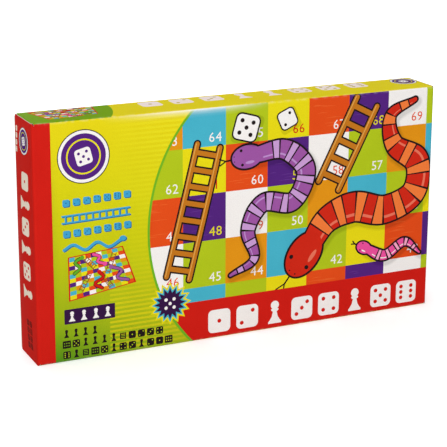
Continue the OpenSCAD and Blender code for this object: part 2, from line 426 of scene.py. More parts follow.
# %% Banded snakes
SNAKE_REACH_SHARES, SNAKE_WIDTH_SHARES = [0, 0.35, 0.8, 1], [0.14, 0.85, 1.0, 0.74]
SNAKE_SHADES, SNAKE_SHADE_SHIFT = ((5.0, 0.08), (3.0, 0.10), (1.4, 0.10)), (1.6, -2.4)
SNAKE_LINE, FIRST_BAND = 1.7, 5
HEAD_AT, HEAD_SHARE, HEAD_SQUASH, HEAD_EDGE_SQUASH = 0.42, 0.82, 0.70, 0.74
FORK_FROM, FORK_SPLIT, FORK_TIP, FORK_SPREAD = 1.1, 1.6, 1.9, 0.16
EYE_AT, EYE_ASIDE, EYE_SHARE = 0.72, 0.36, 0.075
NOSTRIL_AT, NOSTRIL_ASIDE, NOSTRIL_SHARE = 1.12, 0.126, 0.03
HEAD_SHINE_AT, HEAD_SHINE_SHARE = 0.30, 0.30
BACK_SHINE_ASIDE, BACK_SHINE_SHARE = 0.27, 0.10


def draw_snake(points, width, body, bands, shine, band=6):
    """A banded snake from above: it swells from its tail to its body and ends in a plain oval head."""
    path = smooth_path(points)
    widths = width * np.interp(np.linspace(0, 1, len(path)), SNAKE_REACH_SHARES, SNAKE_WIDTH_SHARES)
    along = path[-1] - path[-3]
    angle = math.atan2(along[1], along[0])

    def from_head(forward, aside):
        return path[-1] + turned([(width * forward, width * aside)], (0, 0), angle)[0]

    head, head_length = from_head(HEAD_AT, 0), width * HEAD_SHARE
    for reach, share_of_dark in SNAKE_SHADES:
        shade = ribbon(turned(path, SNAKE_SHADE_SHIFT), widths + 2 * SNAKE_LINE + reach)
        lay(shade, shadow(share_of_dark))
    lay(ribbon([from_head(FORK_FROM, 0), from_head(FORK_SPLIT, 0)], 1.5, 3), BLACK)
    for sense in (-1, 1):
        fork = [from_head(FORK_SPLIT - 0.02, 0), from_head(FORK_TIP, sense * FORK_SPREAD)]
        lay(ribbon(fork, 1.2, 3), BLACK)
    lay(ribbon(path, widths + 2 * SNAKE_LINE), BLACK)
    lay(disc(head, head_length + SNAKE_LINE, 40, HEAD_EDGE_SQUASH, angle), BLACK)
    lay(ribbon(path, widths), body)
    side = np.gradient(path, axis=0)
    side = np.stack([-side[:, 1], side[:, 0]], axis=1) / np.linalg.norm(side, axis=1)[:, None]
    gleam = path[3:-6] + side[3:-6] * widths[3:-6, None] * BACK_SHINE_ASIDE
    lay(ribbon(gleam, widths[3:-6] * BACK_SHINE_SHARE, 4), shine)
    for a in range(FIRST_BAND, len(path) - 2 * band, 2 * band):
        lay(ribbon(path[a:a + band + 1], widths[a:a + band + 1], 0), BLACK)
        lay(ribbon(path[a + 1:a + band], widths[a + 1:a + band], 0), bands)
    lay(disc(head, head_length, 40, HEAD_SQUASH, angle), body)
    lay(disc(from_head(HEAD_SHINE_AT, HEAD_SHINE_AT), head_length * HEAD_SHINE_SHARE, 20, 0.30, angle), shine)
    for sense in (-1, 1):
        lay(disc(from_head(EYE_AT, sense * EYE_ASIDE), width * EYE_SHARE, 14), BLACK)
        lay(disc(from_head(NOSTRIL_AT, sense * NOSTRIL_ASIDE), width * NOSTRIL_SHARE, 8), BLACK)


print("A snake's head is", round(2 * HEAD_SHARE, 2), "of its widths long")

# %% [markdown]
# ## A badge and a little game board
#
# The badge is a set of discs, one on the other, with a tilted die. The carton also shows the board that lies
# inside it. Its picture is ten squares by ten, with a red border, ladders and snakes, and it may be drawn
# askew. So it is laid out on a unit square first, and four corners then stretch it to its place.

# %% The badge
BADGE_RINGS = [(1.0, 48, BLACK), (0.965, 48, WHITE), (0.85, 48, PURPLE), (0.66, 40, YELLOW),
               (0.60, 40, PURPLE)]
BADGE_DIE_SHARE, BADGE_TILT = 0.62, math.radians(14)


def draw_badge(centre, radius):
    """A round badge: a white ring round a purple field with a tilted die."""
    for share, steps, colour in BADGE_RINGS:
        lay(disc(centre, radius * share, steps), colour)
    draw_die(centre, radius * BADGE_DIE_SHARE, 5, WHITE, PURPLE, BADGE_TILT)


print("A badge has", len(BADGE_RINGS), "discs")

# %% The little board
TILE_INKS = [YELLOW, WHITE, CYAN, VERMILION, LIME, LIME, PURPLE, ORANGE]
COLUMN_TURN, ROW_TURN = 3, 2
LITTLE_SQUARES, LITTLE_BORDER = 10, 0.022
LITTLE_LADDERS = [((0.18, 0.16), (0.34, 0.52)), ((0.62, 0.42), (0.82, 0.88)), ((0.45, 0.62), (0.30, 0.90)),
                  ((0.64, 0.06), (0.58, 0.30))]
LITTLE_LADDER_SHARE, LITTLE_RUNGS, LITTLE_RAIL_SHARE = 0.06, 6, 0.012
LITTLE_SNAKES = [([(0.9, 0.12), (0.75, 0.25), (0.85, 0.4), (0.7, 0.55)], VIOLET),
                 ([(0.5, 0.1), (0.4, 0.25), (0.55, 0.35), (0.5, 0.5)], RED),
                 ([(0.1, 0.6), (0.2, 0.7), (0.12, 0.85), (0.25, 0.93)], GREEN),
                 ([(0.45, 0.95), (0.56, 0.86), (0.5, 0.76), (0.62, 0.66)], PINK)]
LITTLE_STEP_SHARE, LITTLE_EDGE_SHARE, LITTLE_BODY_SHARE, LITTLE_HEAD_SHARE = 0.03, 0.055, 0.038, 0.032


def tile_ink(column, row, first=0):
    """The colour of a square, by a rule that keeps neighbours apart."""
    return TILE_INKS[(column * COLUMN_TURN + row * ROW_TURN + first) % len(TILE_INKS)]


def draw_board(corners):
    """A picture of the open board, stretched over four corners from the lower left, anticlockwise."""
    a, b, c, d = (np.asarray(corner, float) for corner in corners)

    def placed(points):
        points = np.asarray(points, float)
        s, t = points[:, :1], points[:, 1:]
        return a * (1 - s) * (1 - t) + b * s * (1 - t) + c * s * t + d * (1 - s) * t

    scale = np.linalg.norm(b - a)
    lay(placed(box(0, 0, 1, 1)), RED)
    step = (1 - 2 * LITTLE_BORDER) / LITTLE_SQUARES
    for row in range(LITTLE_SQUARES):
        for column in range(LITTLE_SQUARES):
            u0, h0 = LITTLE_BORDER + column * step, LITTLE_BORDER + row * step
            lay(placed(box(u0, h0, u0 + step, h0 + step)), tile_ink(column, row))
    width, rail = scale * LITTLE_LADDER_SHARE, scale * LITTLE_RAIL_SHARE
    for ends in LITTLE_LADDERS:
        draw_ladder(*placed(ends), width, LITTLE_RUNGS, rail, DARK_WOOD, 0)
    for points, colour in LITTLE_SNAKES:
        path = smooth_path(placed(points), scale * LITTLE_STEP_SHARE)
        lay(ribbon(path, scale * LITTLE_EDGE_SHARE, 3), BLACK)
        lay(ribbon(path, scale * LITTLE_BODY_SHARE, 3), colour)
        lay(disc(path[-1], scale * LITTLE_HEAD_SHARE, 10), colour)


print("A little board has", LITTLE_SQUARES ** 2, "squares and", len(LITTLE_SNAKES), "snakes")

# %% [markdown]
# ## The cover
#
# The cover has three fields: a red band at the left, a panel that fades from yellow to green and ends in an
# arc, and the board with its coloured squares, above a red band with a row of dice. Later layers cover
# earlier ones, so the squares and their snakes come first and the panel then trims them along its arc.

# %% The squares of the cover
SQUARE_WIDTH, SQUARE_HEIGHT, FIRST_ACROSS, FIRST_UP = 38.5, 40.0, 88.3, 7.4
ROWS, COLUMNS, FIRST_VALUE, FIRST_TILE = 5, 8, 31, 7
NUMBER_ACROSS, NUMBER_UP, NUMBER_HEIGHT = SQUARE_WIDTH - 15, 3.5, 8.0
NUMBER_INKS = {WHITE: VERMILION, YELLOW: RED, PURPLE: YELLOW}
STREAK_INKS = {PURPLE: ink("#63378A"), VERMILION: ink("#E5622C")}
STREAKS, STREAK_WIDTHS, STREAK_BOW, STREAK_MARGIN = 9, [0.2, 0.55, 0.2], 0.3, 1
BLEED = 3.0
rng = np.random.default_rng(7)


def lay_streaks(u0, h0, colour):
    """Thin paler strokes along a square, as a dry brush leaves them."""
    for _ in range(STREAKS):
        start = u0 + rng.uniform(0.04, 0.5) * SQUARE_WIDTH
        stroke = rng.uniform(0.15, 0.45) * SQUARE_WIDTH
        level = h0 + rng.uniform(0.06, 0.94) * SQUARE_HEIGHT
        if level < HEIGHT - STREAK_MARGIN and start + stroke < LENGTH - STREAK_MARGIN:
            path = [(start, level), (start + stroke / 2, level + STREAK_BOW), (start + stroke, level)]
            lay(ribbon(path, STREAK_WIDTHS, 0), colour)


lay(box(-BLEED, 0, LENGTH + BLEED, HEIGHT), YELLOW)
value = FIRST_VALUE
for row in range(ROWS):
    for column in range(COLUMNS) if row % 2 == 0 else reversed(range(COLUMNS)):
        u0, h0 = FIRST_ACROSS + column * SQUARE_WIDTH, FIRST_UP + row * SQUARE_HEIGHT
        tile = tile_ink(column, row, FIRST_TILE)
        lay(box(u0, h0, min(u0 + SQUARE_WIDTH, LENGTH + BLEED), min(h0 + SQUARE_HEIGHT, HEIGHT)), tile)
        if tile in STREAK_INKS:
            lay_streaks(u0, h0, STREAK_INKS[tile])
        place = (u0 + NUMBER_ACROSS, h0 + NUMBER_UP)
        lay(number(value, place, NUMBER_HEIGHT), NUMBER_INKS.get(tile, WHITE))
        value += 1
print("Squares numbered from", FIRST_VALUE, "to", value - 1)

# %% Ladders, snakes and dice on the squares
PURPLE_PATH = [(170, 54), (192, 66), (186, 92), (200, 114), (228, 112), (240, 138), (220, 158), (192, 156)]
RED_PATH = [(346, 190), (322, 178), (326, 152), (350, 134), (347, 106), (318, 94), (288, 100), (262, 92),
            (246, 72)]
PINK_PATH = [(356, 50), (340, 62), (320, 52), (302, 60)]
SNAKE_RED, SNAKE_ORANGE = ink("#CC2A1A"), ink("#EE7A3A")
RED_SHINE, PURPLE_SHINE = ink("#E4735A"), ink("#B98CC8")

draw_ladder(foot=(122, 58), top=(150, 168), width=21, rungs=8, rail=4.2)
draw_ladder(foot=(262, 122), top=(298, 192), width=22, rungs=5, rail=4.6)
draw_snake(PURPLE_PATH, width=17, body=VIOLET, bands=LILAC, shine=PURPLE_SHINE)
draw_snake(RED_PATH, width=26, body=SNAKE_RED, bands=SNAKE_ORANGE, shine=RED_SHINE, band=8)
draw_snake(PINK_PATH, width=9, body=PINK, bands=ROSE, shine=WHITE, band=4)
draw_die(centre=(184, 180), side=21, pips=5, angle=math.radians(-16), line=1.4)
draw_die(centre=(222, 184), side=15, pips=2, angle=math.radians(24), line=1.2)
print("Layers after the squares and their snakes:", len(print_layers))

# %% [markdown]
# The panel at the left fades from yellow at its top to green at its foot. Fine stripes run across it, sharp
# near the foot and faded in from the left higher up. A green line marks the arc in which it ends.

# %% The panel with its arc and stripes
ARC_CENTRE, ARC_RADIUS, ARC_LINE, STRIPE_OVERLAP = (242.3, 99.0), 144.9, 2.0, 0.6
RED_BAND, LOWER_BAND = 15.0, 35.1
PANEL_STOPS = [(0, ink("#4F8B1C")), (12, ink("#67951A")), (28, ink("#86A61A")), (45, ink("#9DB01A")),
               (70, ink("#B0BA19")), (105, ink("#C4C615")), (145, ink("#D4CD16")), (200, ink("#E2D11A"))]
PANEL_LEAN_SHARE = 0.45
STRIPE_STOPS = [(0, ink("#B9B81D")), (30, ink("#CDC61A")), (60, ink("#C9C61A")), (100, ink("#D0CE18")),
                (140, ink("#DBD41D")), (200, ink("#E8DC24"))]
STRIPE_STEP, STRIPE_WIDTH, STRIPE_START, STRIPE_FADE, SHARP_BELOW = 3.9, 1.9, 62.0, 50.0, 45.0


def arc_points(radius, low, high, steps=40):
    """The left stretch of the circle round the board's picture, from one height to another."""
    heights = np.linspace(low, high, steps)
    return [(ARC_CENTRE[0] - math.sqrt(radius ** 2 - (h - ARC_CENTRE[1]) ** 2), h) for h in heights]


def panel_ink(spots, below):
    """The panel's fade, which turns yellow a little lower down towards the arc."""
    lifted = spots[:, 1] + PANEL_LEAN_SHARE * (spots[:, 0] - RED_BAND) * (1 - spots[:, 1] / HEIGHT)
    return fade(PANEL_STOPS)(np.column_stack([spots[:, 0], lifted]), below)


def stripe_ink(spots, below):
    """The stripes begin sharply near the foot of the cover, and higher up they fade in from the left."""
    sharp = np.clip((2 * SHARP_BELOW - spots[:, 1]) / SHARP_BELOW, 0, 1)
    share = np.maximum(sharp, np.clip((spots[:, 0] - STRIPE_START) / STRIPE_FADE, 0, 1))[:, None]
    return below * (1 - share) + fade(STRIPE_STOPS)(spots, below) * share


lay(box(RED_BAND, 0, LENGTH + BLEED, LOWER_BAND), RED)
for radius, colour in ((ARC_RADIUS, ink("#6DAF27")), (ARC_RADIUS + ARC_LINE, panel_ink)):
    lay([(RED_BAND, 0)] + arc_points(radius, 0, HEIGHT) + [(RED_BAND, HEIGHT)], colour)
for level in np.arange(STRIPE_STEP, HEIGHT - STRIPE_STEP, STRIPE_STEP):
    end = arc_points(ARC_RADIUS + ARC_LINE + STRIPE_OVERLAP, level, level + STRIPE_WIDTH, 2)
    lay([(STRIPE_START, level + STRIPE_WIDTH), (STRIPE_START, level)] + end, stripe_ink)
lay(box(-BLEED, 0, RED_BAND, HEIGHT), RED)
print("Layers after the panel:", len(print_layers))

# %% [markdown]
# The panel carries a badge, four blue rows, a picture of the board, a dark bar with pawns and rows of small
# dark pictures. The blue rows are drawn twice, first a little lower in a dark edge ink and then in blue.

# %% Badge, blue rows and board on the panel
draw_badge(centre=(42, 170), radius=22)
BLUE, BLUE_EDGE, EDGE_SHIFT = ink("#409ECB"), ink("#2A5F8C"), (0.7, -0.7)
BLUE_DICE, BLUE_DIE, BLUE_START, BLUE_STEP, BLUE_RISE = 7, 5.8, 26.5, 8.6, 0.34
BLUE_LEVELS = (133.5, 108.0)
BLUE_LADDER, BLUE_RUNGS, BLUE_RAIL = ((23, 120), (80, 121.5)), 10, 1.3
BLUE_SNAKE, BLUE_SNAKE_HEAD = [(24, 95), (32, 98.6), (42, 93.4), (52, 98.6), (62, 93.4), (72, 98)], (74.0, 99)
blue_path = smooth_path(BLUE_SNAKE)
for shift, colour in ((EDGE_SHIFT, BLUE_EDGE), ((0.0, 0.0), BLUE)):
    for level in BLUE_LEVELS:
        for i in range(BLUE_DICE):
            spot = (BLUE_START + i * BLUE_STEP, level + i * BLUE_RISE)
            draw_die(np.add(spot, shift), BLUE_DIE, i % 6 + 1, colour, BLUE_EDGE)
    draw_ladder(*np.add(BLUE_LADDER, shift), BLUE_DIE, BLUE_RUNGS, BLUE_RAIL, colour, 0)
    lay(ribbon(blue_path + shift, 2.4), colour)
    lay(disc(np.add(BLUE_SNAKE_HEAD, shift), 3.0, 20, 0.75), colour)
draw_board([(27.2, 51.3), (85.2, 60.2), (73.8, 92.5), (27.1, 88.5)])
print("Layers after the board on the panel:", len(print_layers))

# %% Dark bar, small pictures and burst
BAR_PAWNS, BAR_PAWN, BAR_PAWN_START, BAR_PAWN_STEP, BAR_PAWN_FOOT = 4, 8.6, 29.5, 10.2, 34.2
lay(rounded(centre=(44.7, 38.5), width=43.4, height=12.6, radius=0.6), DARK_PURPLE)
for i in range(BAR_PAWNS):
    draw_pawn((BAR_PAWN_START + i * BAR_PAWN_STEP, BAR_PAWN_FOOT), BAR_PAWN, WHITE)

ICON, ICON_STEP, ICON_START, ICON_ROUND = 6.4, 8.1, 24.5, 0.7
PAWN_ICON_SHARE, BOARD_ICON_SHARE, LEAFLET_ICON_SHARE = 1.08, 1.1, 0.42
BOARD_HOLES = [(u, h, u + 1, h + 1) for u in (-2.4, -0.5, 1.4) for h in (-1.6, 0.6)]
LEAFLET_LINES = [(-1.8, h, 1.8, h + 0.6) for h in (-1.6, -0.2, 1.2)]


def draw_icons(level, kinds):
    """A row of small dark pictures: numbers are dice, and the rest pawns, boards and leaflets."""
    for i, kind in enumerate(kinds):
        centre = np.array([ICON_START + i * ICON_STEP, level])
        if kind == "pawn":
            draw_pawn(centre - (0, ICON / 2), ICON * PAWN_ICON_SHARE, BLACK)
        elif kind == "board":
            sheet = rounded(centre, ICON * BOARD_ICON_SHARE, ICON, ICON_ROUND)
            lay([sheet] + [box(*hole) + centre for hole in BOARD_HOLES], BLACK)
        elif kind == "leaflet":
            half = ICON * LEAFLET_ICON_SHARE
            sheet = box(-half, -half, half, half) + centre
            lay([sheet] + [box(*line) + centre for line in LEAFLET_LINES], BLACK)
        else:
            draw_die(centre, ICON, kind, BLACK, LIME)


draw_icons(24.0, ["pawn"] * 4)
draw_icons(15.0, ["board", 5, "pawn", "pawn", "pawn", "pawn", "leaflet", 1, 2, 3, 4])
draw_icons(6.0, [6, "pawn", "leaflet", "board", 5, "pawn", 4, 3, "pawn", 2, 1, "board"])

BURST, BURST_TIPS, BURST_PIP, BURST_PIP_STEP = (115, 37), 16, 1.5, 3.6
for outer, inner, colour in ((19.0, 14.0, YELLOW), (16.4, 11.6, CYAN), (14.0, 9.4, DARK_PURPLE)):
    lay(star(BURST, outer, inner, BURST_TIPS), colour)
for spot in PIP_SPOTS[5]:
    lay(disc(np.array(spot) * BURST_PIP_STEP + BURST, BURST_PIP, 14), WHITE)
print("Layers after the burst:", len(print_layers))

# %% [markdown]
# The lower band carries a row of large white dice and pawns. Under the upper crease a painted highlight, a
# pale sheen that stands in for the light the rounded crease catches from above, is laid last, in thin strips
# that follow its fall in strength.

# %% The row on the lower band
ROW_DIE, ROW_LEVEL, ROW_START, ROW_STEP = 20.5, 15.0, 160.0, 26.2


def draw_picture(picture, centre, die, pawn, colour, dots, angle=0.0):
    """A die or a pawn of a row, where both stand round the same middle line."""
    if picture == "pawn":
        draw_pawn(np.add(centre, turned([(0, -pawn / 2)], (0, 0), angle)[0]), pawn, colour, angle)
    else:
        draw_die(centre, die, picture, colour, dots)


for i, picture in enumerate((1, 2, "pawn", 3, 4, "pawn", 5, 6)):
    draw_picture(picture, (ROW_START + i * ROW_STEP, ROW_LEVEL), ROW_DIE, ROW_DIE, WHITE, RED)
print("Layers after the row:", len(print_layers))

# %% The painted highlight under the upper crease
# Painted highlight: a near-white ink blended over the print below the upper crease, in place of the light the
# crease reflects.
HIGHLIGHT_START, HIGHLIGHT_END, HIGHLIGHT_DEPTH, HIGHLIGHT_MOST = 56.0, 206.0, 7.5, 0.95
HIGHLIGHT_SKEW, HIGHLIGHT_ROUNDNESS, HIGHLIGHT_FALL, HIGHLIGHT_STRIP = 1.3, 1.2, 2.4, 15.0
HIGHLIGHT_LEVELS = [0.0, 0.9, 2.0, 3.4, 5.2, HIGHLIGHT_DEPTH]
PAINTED_HIGHLIGHT_INK = np.array(ink("#FFFBF4"))


def haze(spots, below):
    """A painted highlight under the upper crease, strongest a little past the middle of its stretch."""
    along = np.clip((spots[:, 0] - HIGHLIGHT_START) / (HIGHLIGHT_END - HIGHLIGHT_START), 0, 1)
    down = np.clip((HEIGHT - spots[:, 1]) / HIGHLIGHT_DEPTH, 0, 1)
    rise = np.sin(math.pi * along ** HIGHLIGHT_SKEW) ** HIGHLIGHT_ROUNDNESS
    share = (HIGHLIGHT_MOST * rise * (1 - down) ** HIGHLIGHT_FALL)[:, None]
    return below * (1 - share) + PAINTED_HIGHLIGHT_INK * share


for low, high in zip(HIGHLIGHT_LEVELS, HIGHLIGHT_LEVELS[1:]):
    for start in np.arange(HIGHLIGHT_START, HIGHLIGHT_END, HIGHLIGHT_STRIP):
        lay(box(start, HEIGHT - high, start + HIGHLIGHT_STRIP, HEIGHT - low), haze)
print("Layers on the cover:", len(print_layers))

# %% [markdown]
# ## The narrow sides, the ends and the back
#
# The two narrow sides are yellow with a green patch, and one is the mirror of the other: distances on both
# count from the crease with the cover. The back repeats the panel's colours round a larger picture of the
# board. There the sheet is upside down, so its picture is turned half round.

# %% Narrow sides
NARROW_PICTURES, NARROW_DOTS = ink("#F3E4E0"), ink("#B9A81C")
NARROW_YELLOW, PATCH_GREEN = ink("#E2D11B"), ink("#74A010")
PATCH_CENTRE, PATCH_RADIUS, PATCH_STEPS = (-8.0, 44.0), 86.0, 16
SMALL_BOARD = [(64.5, 41.5), (9, 40), (18, 9), (60, 14)]
SIDE_DIE, SIDE_PAWN, SIDE_LEVEL, SIDE_START, SIDE_STEP = 18, 20, 30.0, 111, 27.5


def draw_narrow_side(crease, away):
    """A narrow side, from its crease with the cover. Away is 1 for the top and -1 for the bottom."""
    def on_side(place):
        return (place[0], crease + away * place[1])

    low, high = sorted((crease, crease + away * DEPTH))
    lay(box(-BLEED, low, LENGTH + BLEED, high), NARROW_YELLOW)
    patch = [(-BLEED, 0)]
    for d in np.linspace(0, DEPTH, PATCH_STEPS):
        patch.append((PATCH_CENTRE[0] + math.sqrt(PATCH_RADIUS ** 2 - (d - PATCH_CENTRE[1]) ** 2), d))
    patch.append((-BLEED, DEPTH))
    lay([on_side(place) for place in patch], PATCH_GREEN)
    draw_board([on_side(place) for place in SMALL_BOARD])
    for i, picture in enumerate((1, 2, 3, "pawn", "pawn", 4, 5, 6)):
        place = on_side((SIDE_START + i * SIDE_STEP, SIDE_LEVEL))
        draw_picture(picture, place, SIDE_DIE, SIDE_PAWN, NARROW_PICTURES, NARROW_DOTS)
    draw_badge(centre=on_side((351, 29)), radius=12)


draw_narrow_side(COVER_TOP, 1)
draw_narrow_side(0, -1)
print("Layers after the narrow sides:", len(print_layers))

# %% The back
BACK_STOPS = [(BACK_TOP, ink("#E2D81A")), (BACK_TOP + HEIGHT, ink("#6FB02B"))]
BIG_BOARD = [(330, 180), (170, 180), (170, 20), (330, 20)]
BACK_DIE, BACK_DIE_START, BACK_DIE_STEP, BACK_DIE_LEVEL = 24, 140, 40, 105
BACK_PAWN, BACK_PAWN_START, BACK_PAWN_STEP, BACK_PAWN_FOOT = 28, 145, 30, 172
BACK_TILE_SIZE, BACK_TILE_ROUND, BACK_TILE_LEVEL = (24, 36), 5, 158


def on_back(place):
    """A place on the back, whose second measure counts down from the back's upper edge."""
    return (place[0], BACK_TOP + place[1])


lay(box(-BLEED, BACK_TOP, LENGTH + BLEED, BACK_TOP + HEIGHT + BLEED), fade(BACK_STOPS))
for low, high in ((-BLEED, RED_BAND), (LENGTH - RED_BAND, LENGTH + BLEED)):
    lay(box(low, BACK_TOP, high, BACK_TOP + HEIGHT + BLEED), RED)
draw_board([on_back(place) for place in BIG_BOARD])
draw_badge(centre=on_back((120, 45)), radius=24)
for i, pips in enumerate((2, 4, 6)):
    draw_die(on_back((BACK_DIE_START - i * BACK_DIE_STEP, BACK_DIE_LEVEL)), BACK_DIE, pips, WHITE, RED)
for i, colour in enumerate((RED, YELLOW, GREEN, CYAN)):
    across = BACK_PAWN_START - i * BACK_PAWN_STEP
    lay(rounded(on_back((across, BACK_TILE_LEVEL)), *BACK_TILE_SIZE, BACK_TILE_ROUND), WHITE)
    draw_pawn(on_back((across, BACK_PAWN_FOOT)), BACK_PAWN, colour, math.pi)
print("Layers after the back:", len(print_layers))

# %% [markdown]
# The red band of the cover runs round both ends, which carry a badge and a row of pictures that lie on their
# side. The tongues and the dust flaps are hidden when the carton is shut, so they stay white past a narrow
# bleed. The glue flap is hidden too, and all of it is white.

# %% The ends and the unprinted flaps
END_DIE, END_PAWN, END_STEP, END_START, END_SHIFT = 14.5, 18.5, 18.6, 150, 4.5
END_PICTURES, END_DARK = ink("#EDE0CC"), ink("#7A1A14")
WHITE_DICE, WHITE_DIE, WHITE_DIE_STEP, WHITE_DIE_START, WHITE_DIE_SHIFT = 4, 4.4, 5.6, 189, 16
DARK_DICE, DARK_DIE, DARK_DIE_STEP, DARK_DIE_START = 8, 5.4, 6.4, 12
TONGUE_PRINT, FLAP_PRINT, GLUE_PRINT = 20, 40, 30


def draw_end(crease, facing):
    """An end, from its crease with the cover. Facing is 1 for the left end and -1 for the right end."""
    outside = crease - facing * DEPTH
    middle = (crease + outside) / 2
    row = middle + facing * END_SHIFT
    lay(box(min(crease, outside), 0, max(crease, outside), HEIGHT), RED)
    draw_badge(centre=(middle + facing * 2, 182), radius=11)
    for i in range(WHITE_DICE):
        place = (middle - facing * WHITE_DIE_SHIFT, WHITE_DIE_START - i * WHITE_DIE_STEP)
        draw_die(place, WHITE_DIE, i + 1, END_PICTURES, RED)
    for i, picture in enumerate((1, "pawn", 3, "pawn", 5, "pawn")):
        place = (row, END_START - i * END_STEP)
        draw_picture(picture, place, END_DIE, END_PAWN, END_PICTURES, RED, -math.pi / 2)
    for i in range(DARK_DICE):
        place = (row + (i % 2 - 0.5) * DARK_DIE_STEP, DARK_DIE_START + i // 2 * DARK_DIE_STEP)
        draw_die(place, DARK_DIE, i % 6 + 1, END_DARK, RED)
    lay(box(outside, 0, outside - facing * TONGUE_PRINT, HEIGHT), WHITE)
    lay(box(outside, 0, outside - facing * BLEED, HEIGHT), RED)


draw_end(0, 1)
draw_end(LENGTH, -1)
for low, high in ((COVER_TOP, BACK_TOP), (-DEPTH, 0)):
    for start, end in ((-FLAP_PRINT, -BLEED), (LENGTH + BLEED, LENGTH + FLAP_PRINT)):
        lay(box(start, low, end, high), WHITE)
lay(box(0, -DEPTH - GLUE_PRINT, LENGTH, -DEPTH), WHITE)
point_count = sum(len(loop) for loops, _ in print_layers for loop in loops)
print("Printed shapes:", len(print_layers), "with", point_count, "points")

# %% [markdown]
# ## Cutting the print into the sheet
#
# An ink could be a picture wrapped on the card, but this lesson uses none. Instead the outlines are cut into
# the flat sheet with a constrained triangulation, a tool that finds triangles which keep every given line.
# Each triangle then takes the topmost shape that holds its centre, and its corners carry the ink as a colour
# attribute, so the print keeps sharp edges at any distance. A few extra points let broad fades and slight
# waves follow, and each crease gets lines of its own, so that the sheet can bend there.

# %% Find the ink of each triangle
def inside(loops, spots):
    """Which spots lie inside the loops: those with an odd number of edges to their right."""
    odd = np.zeros(len(spots), bool)
    for loop in loops:
        for (u0, h0), (u1, h1) in zip(loop, np.roll(loop, -1, axis=0)):
            if h0 == h1:
                continue
            crosses = (h0 > spots[:, 1]) != (h1 > spots[:, 1])
            odd ^= crosses & (spots[:, 0] < (u1 - u0) * (spots[:, 1] - h0) / (h1 - h0) + u0)
    return odd


def ink_corners(layers, flat, triangles):
    """The ink at each corner of each triangle, from the topmost layers that hold the triangle's centre."""
    middles, corners = flat[triangles].mean(axis=1), flat[triangles].reshape(-1, 2)
    colours = np.tile(np.array(WHITE), (len(triangles) * 3, 1))
    for loops, colour in layers:
        every = np.vstack(loops)
        near = ((middles >= every.min(axis=0)) & (middles <= every.max(axis=0))).all(axis=1)
        chosen = np.flatnonzero(near)[inside(loops, middles[near])]
        where = (chosen[:, None] * 3 + np.arange(3)).ravel()
        colours[where] = colour(corners[where], colours[where]) if callable(colour) else colour
    return colours


print("Ink rules:", sum(callable(colour) for _, colour in print_layers), "layers fade or shade")

# %% Cut one piece of the sheet
ACROSS, UP = 0, 1
LATTICE = 14.0


def cut_sheet(outline, axis, lines):
    """Flat points, triangles and corner colours of a piece. Each line stands at one measure of the axis."""
    outline = np.asarray(outline, float)
    low, high = outline.min(axis=0), outline.max(axis=0)
    layers = []
    for loops, colour in print_layers:
        every = np.vstack(loops)
        if (every.max(axis=0) > low).all() and (every.min(axis=0) < high).all():
            layers.append((loops, colour))
    points, edges = [], []

    def add(loop, closed=True):
        first, count = len(points), len(loop)
        points.extend(Vector(map(float, point)) for point in loop)
        edges.extend((first + i, first + (i + 1) % count) for i in range(count if closed else count - 1))

    add(outline)
    for loops, _ in layers:
        for loop in loops:
            add(np.clip(loop, low - 1, high + 1))
    for at in lines:
        ends = np.array([low, high])
        ends[:, axis] = at
        add(ends, closed=False)
    steps = [np.arange(low[i], high[i], LATTICE) + LATTICE / 2 for i in (ACROSS, UP)]
    grid = np.stack(np.meshgrid(*steps), axis=-1).reshape(-1, 2)
    points.extend(Vector(map(float, point)) for point in grid)
    flat, _, triangles, *_ = delaunay_2d_cdt(points, edges, [], 0, SMALLEST_STEP, False)
    flat, triangles = np.array([p[:] for p in flat]), np.array([t[:3] for t in triangles])
    triangles = triangles[inside([outline], flat[triangles].mean(axis=1))]
    colours = ink_corners(layers, flat, triangles)
    used_points, triangles = np.unique(triangles, return_inverse=True)
    return flat[used_points], triangles.reshape(-1, 3), colours


print("Extra points lie", LATTICE, "mm apart")

# %% [markdown]
# ## Bending the sheet
#
# A crease in thick card is a small round bend, not a sharp fold. A bent strip is described by its corners and
# their radii. The function below follows it with straight runs and short arcs, and tells where each flat
# measure ends up.

# %% Follow a bent strip
ARC_STEPS = 6


def bent_strip(corners, radii, start):
    """Flat measures and bent places along a strip. Each corner keeps the flat measure of its sharp point."""
    corners = np.asarray(corners, float)
    lengths = np.linalg.norm(np.diff(corners, axis=0), axis=1)
    measures = start + np.concatenate([[0], np.cumsum(lengths)])
    flat, places = [measures[0]], [corners[0]]
    for i, radius in enumerate(radii, 1):
        before = (corners[i - 1] - corners[i]) / lengths[i - 1]
        after = (corners[i + 1] - corners[i]) / lengths[i]
        if radius == 0:
            flat.append(measures[i])
            places.append(corners[i])
            continue
        for t in np.linspace(0, 1, ARC_STEPS + 1):
            a = t * math.pi / 2
            flat.append(measures[i] + (2 * t - 1) * radius)
            places.append(corners[i] + radius * (before * (1 - math.sin(a)) + after * (1 - math.cos(a))))
    flat.append(measures[-1])
    places.append(corners[-1])
    return np.array(flat), np.array(places)


def along_strip(strip, measures):
    """Where flat measures lie on a bent strip."""
    flat, places = strip
    order = np.argsort(flat)
    return np.stack([np.interp(measures, flat[order], places[order, axis]) for axis in (0, 1)], axis=1)


print("Each bend has", ARC_STEPS, "steps")

# %% [markdown]
# ## Building a finish
#
# A material here starts from what the real one is. One small function adds a node with its settings and its
# links, and another starts a material with its surface shader. Patterns are sized in millimetres: on the card
# the flat measures run to one for each carton height, and elsewhere Object coordinates run in metres.

# %% Node helpers
def feed(socket, given):
    """Gives a socket a value, or a link from another socket or from a node's first socket in use."""
    if isinstance(given, bpy.types.Node):
        given = next(output for output in given.outputs if output.enabled)
    if isinstance(given, bpy.types.NodeSocket):
        socket.id_data.links.new(given, socket)
    else:
        socket.default_value = given


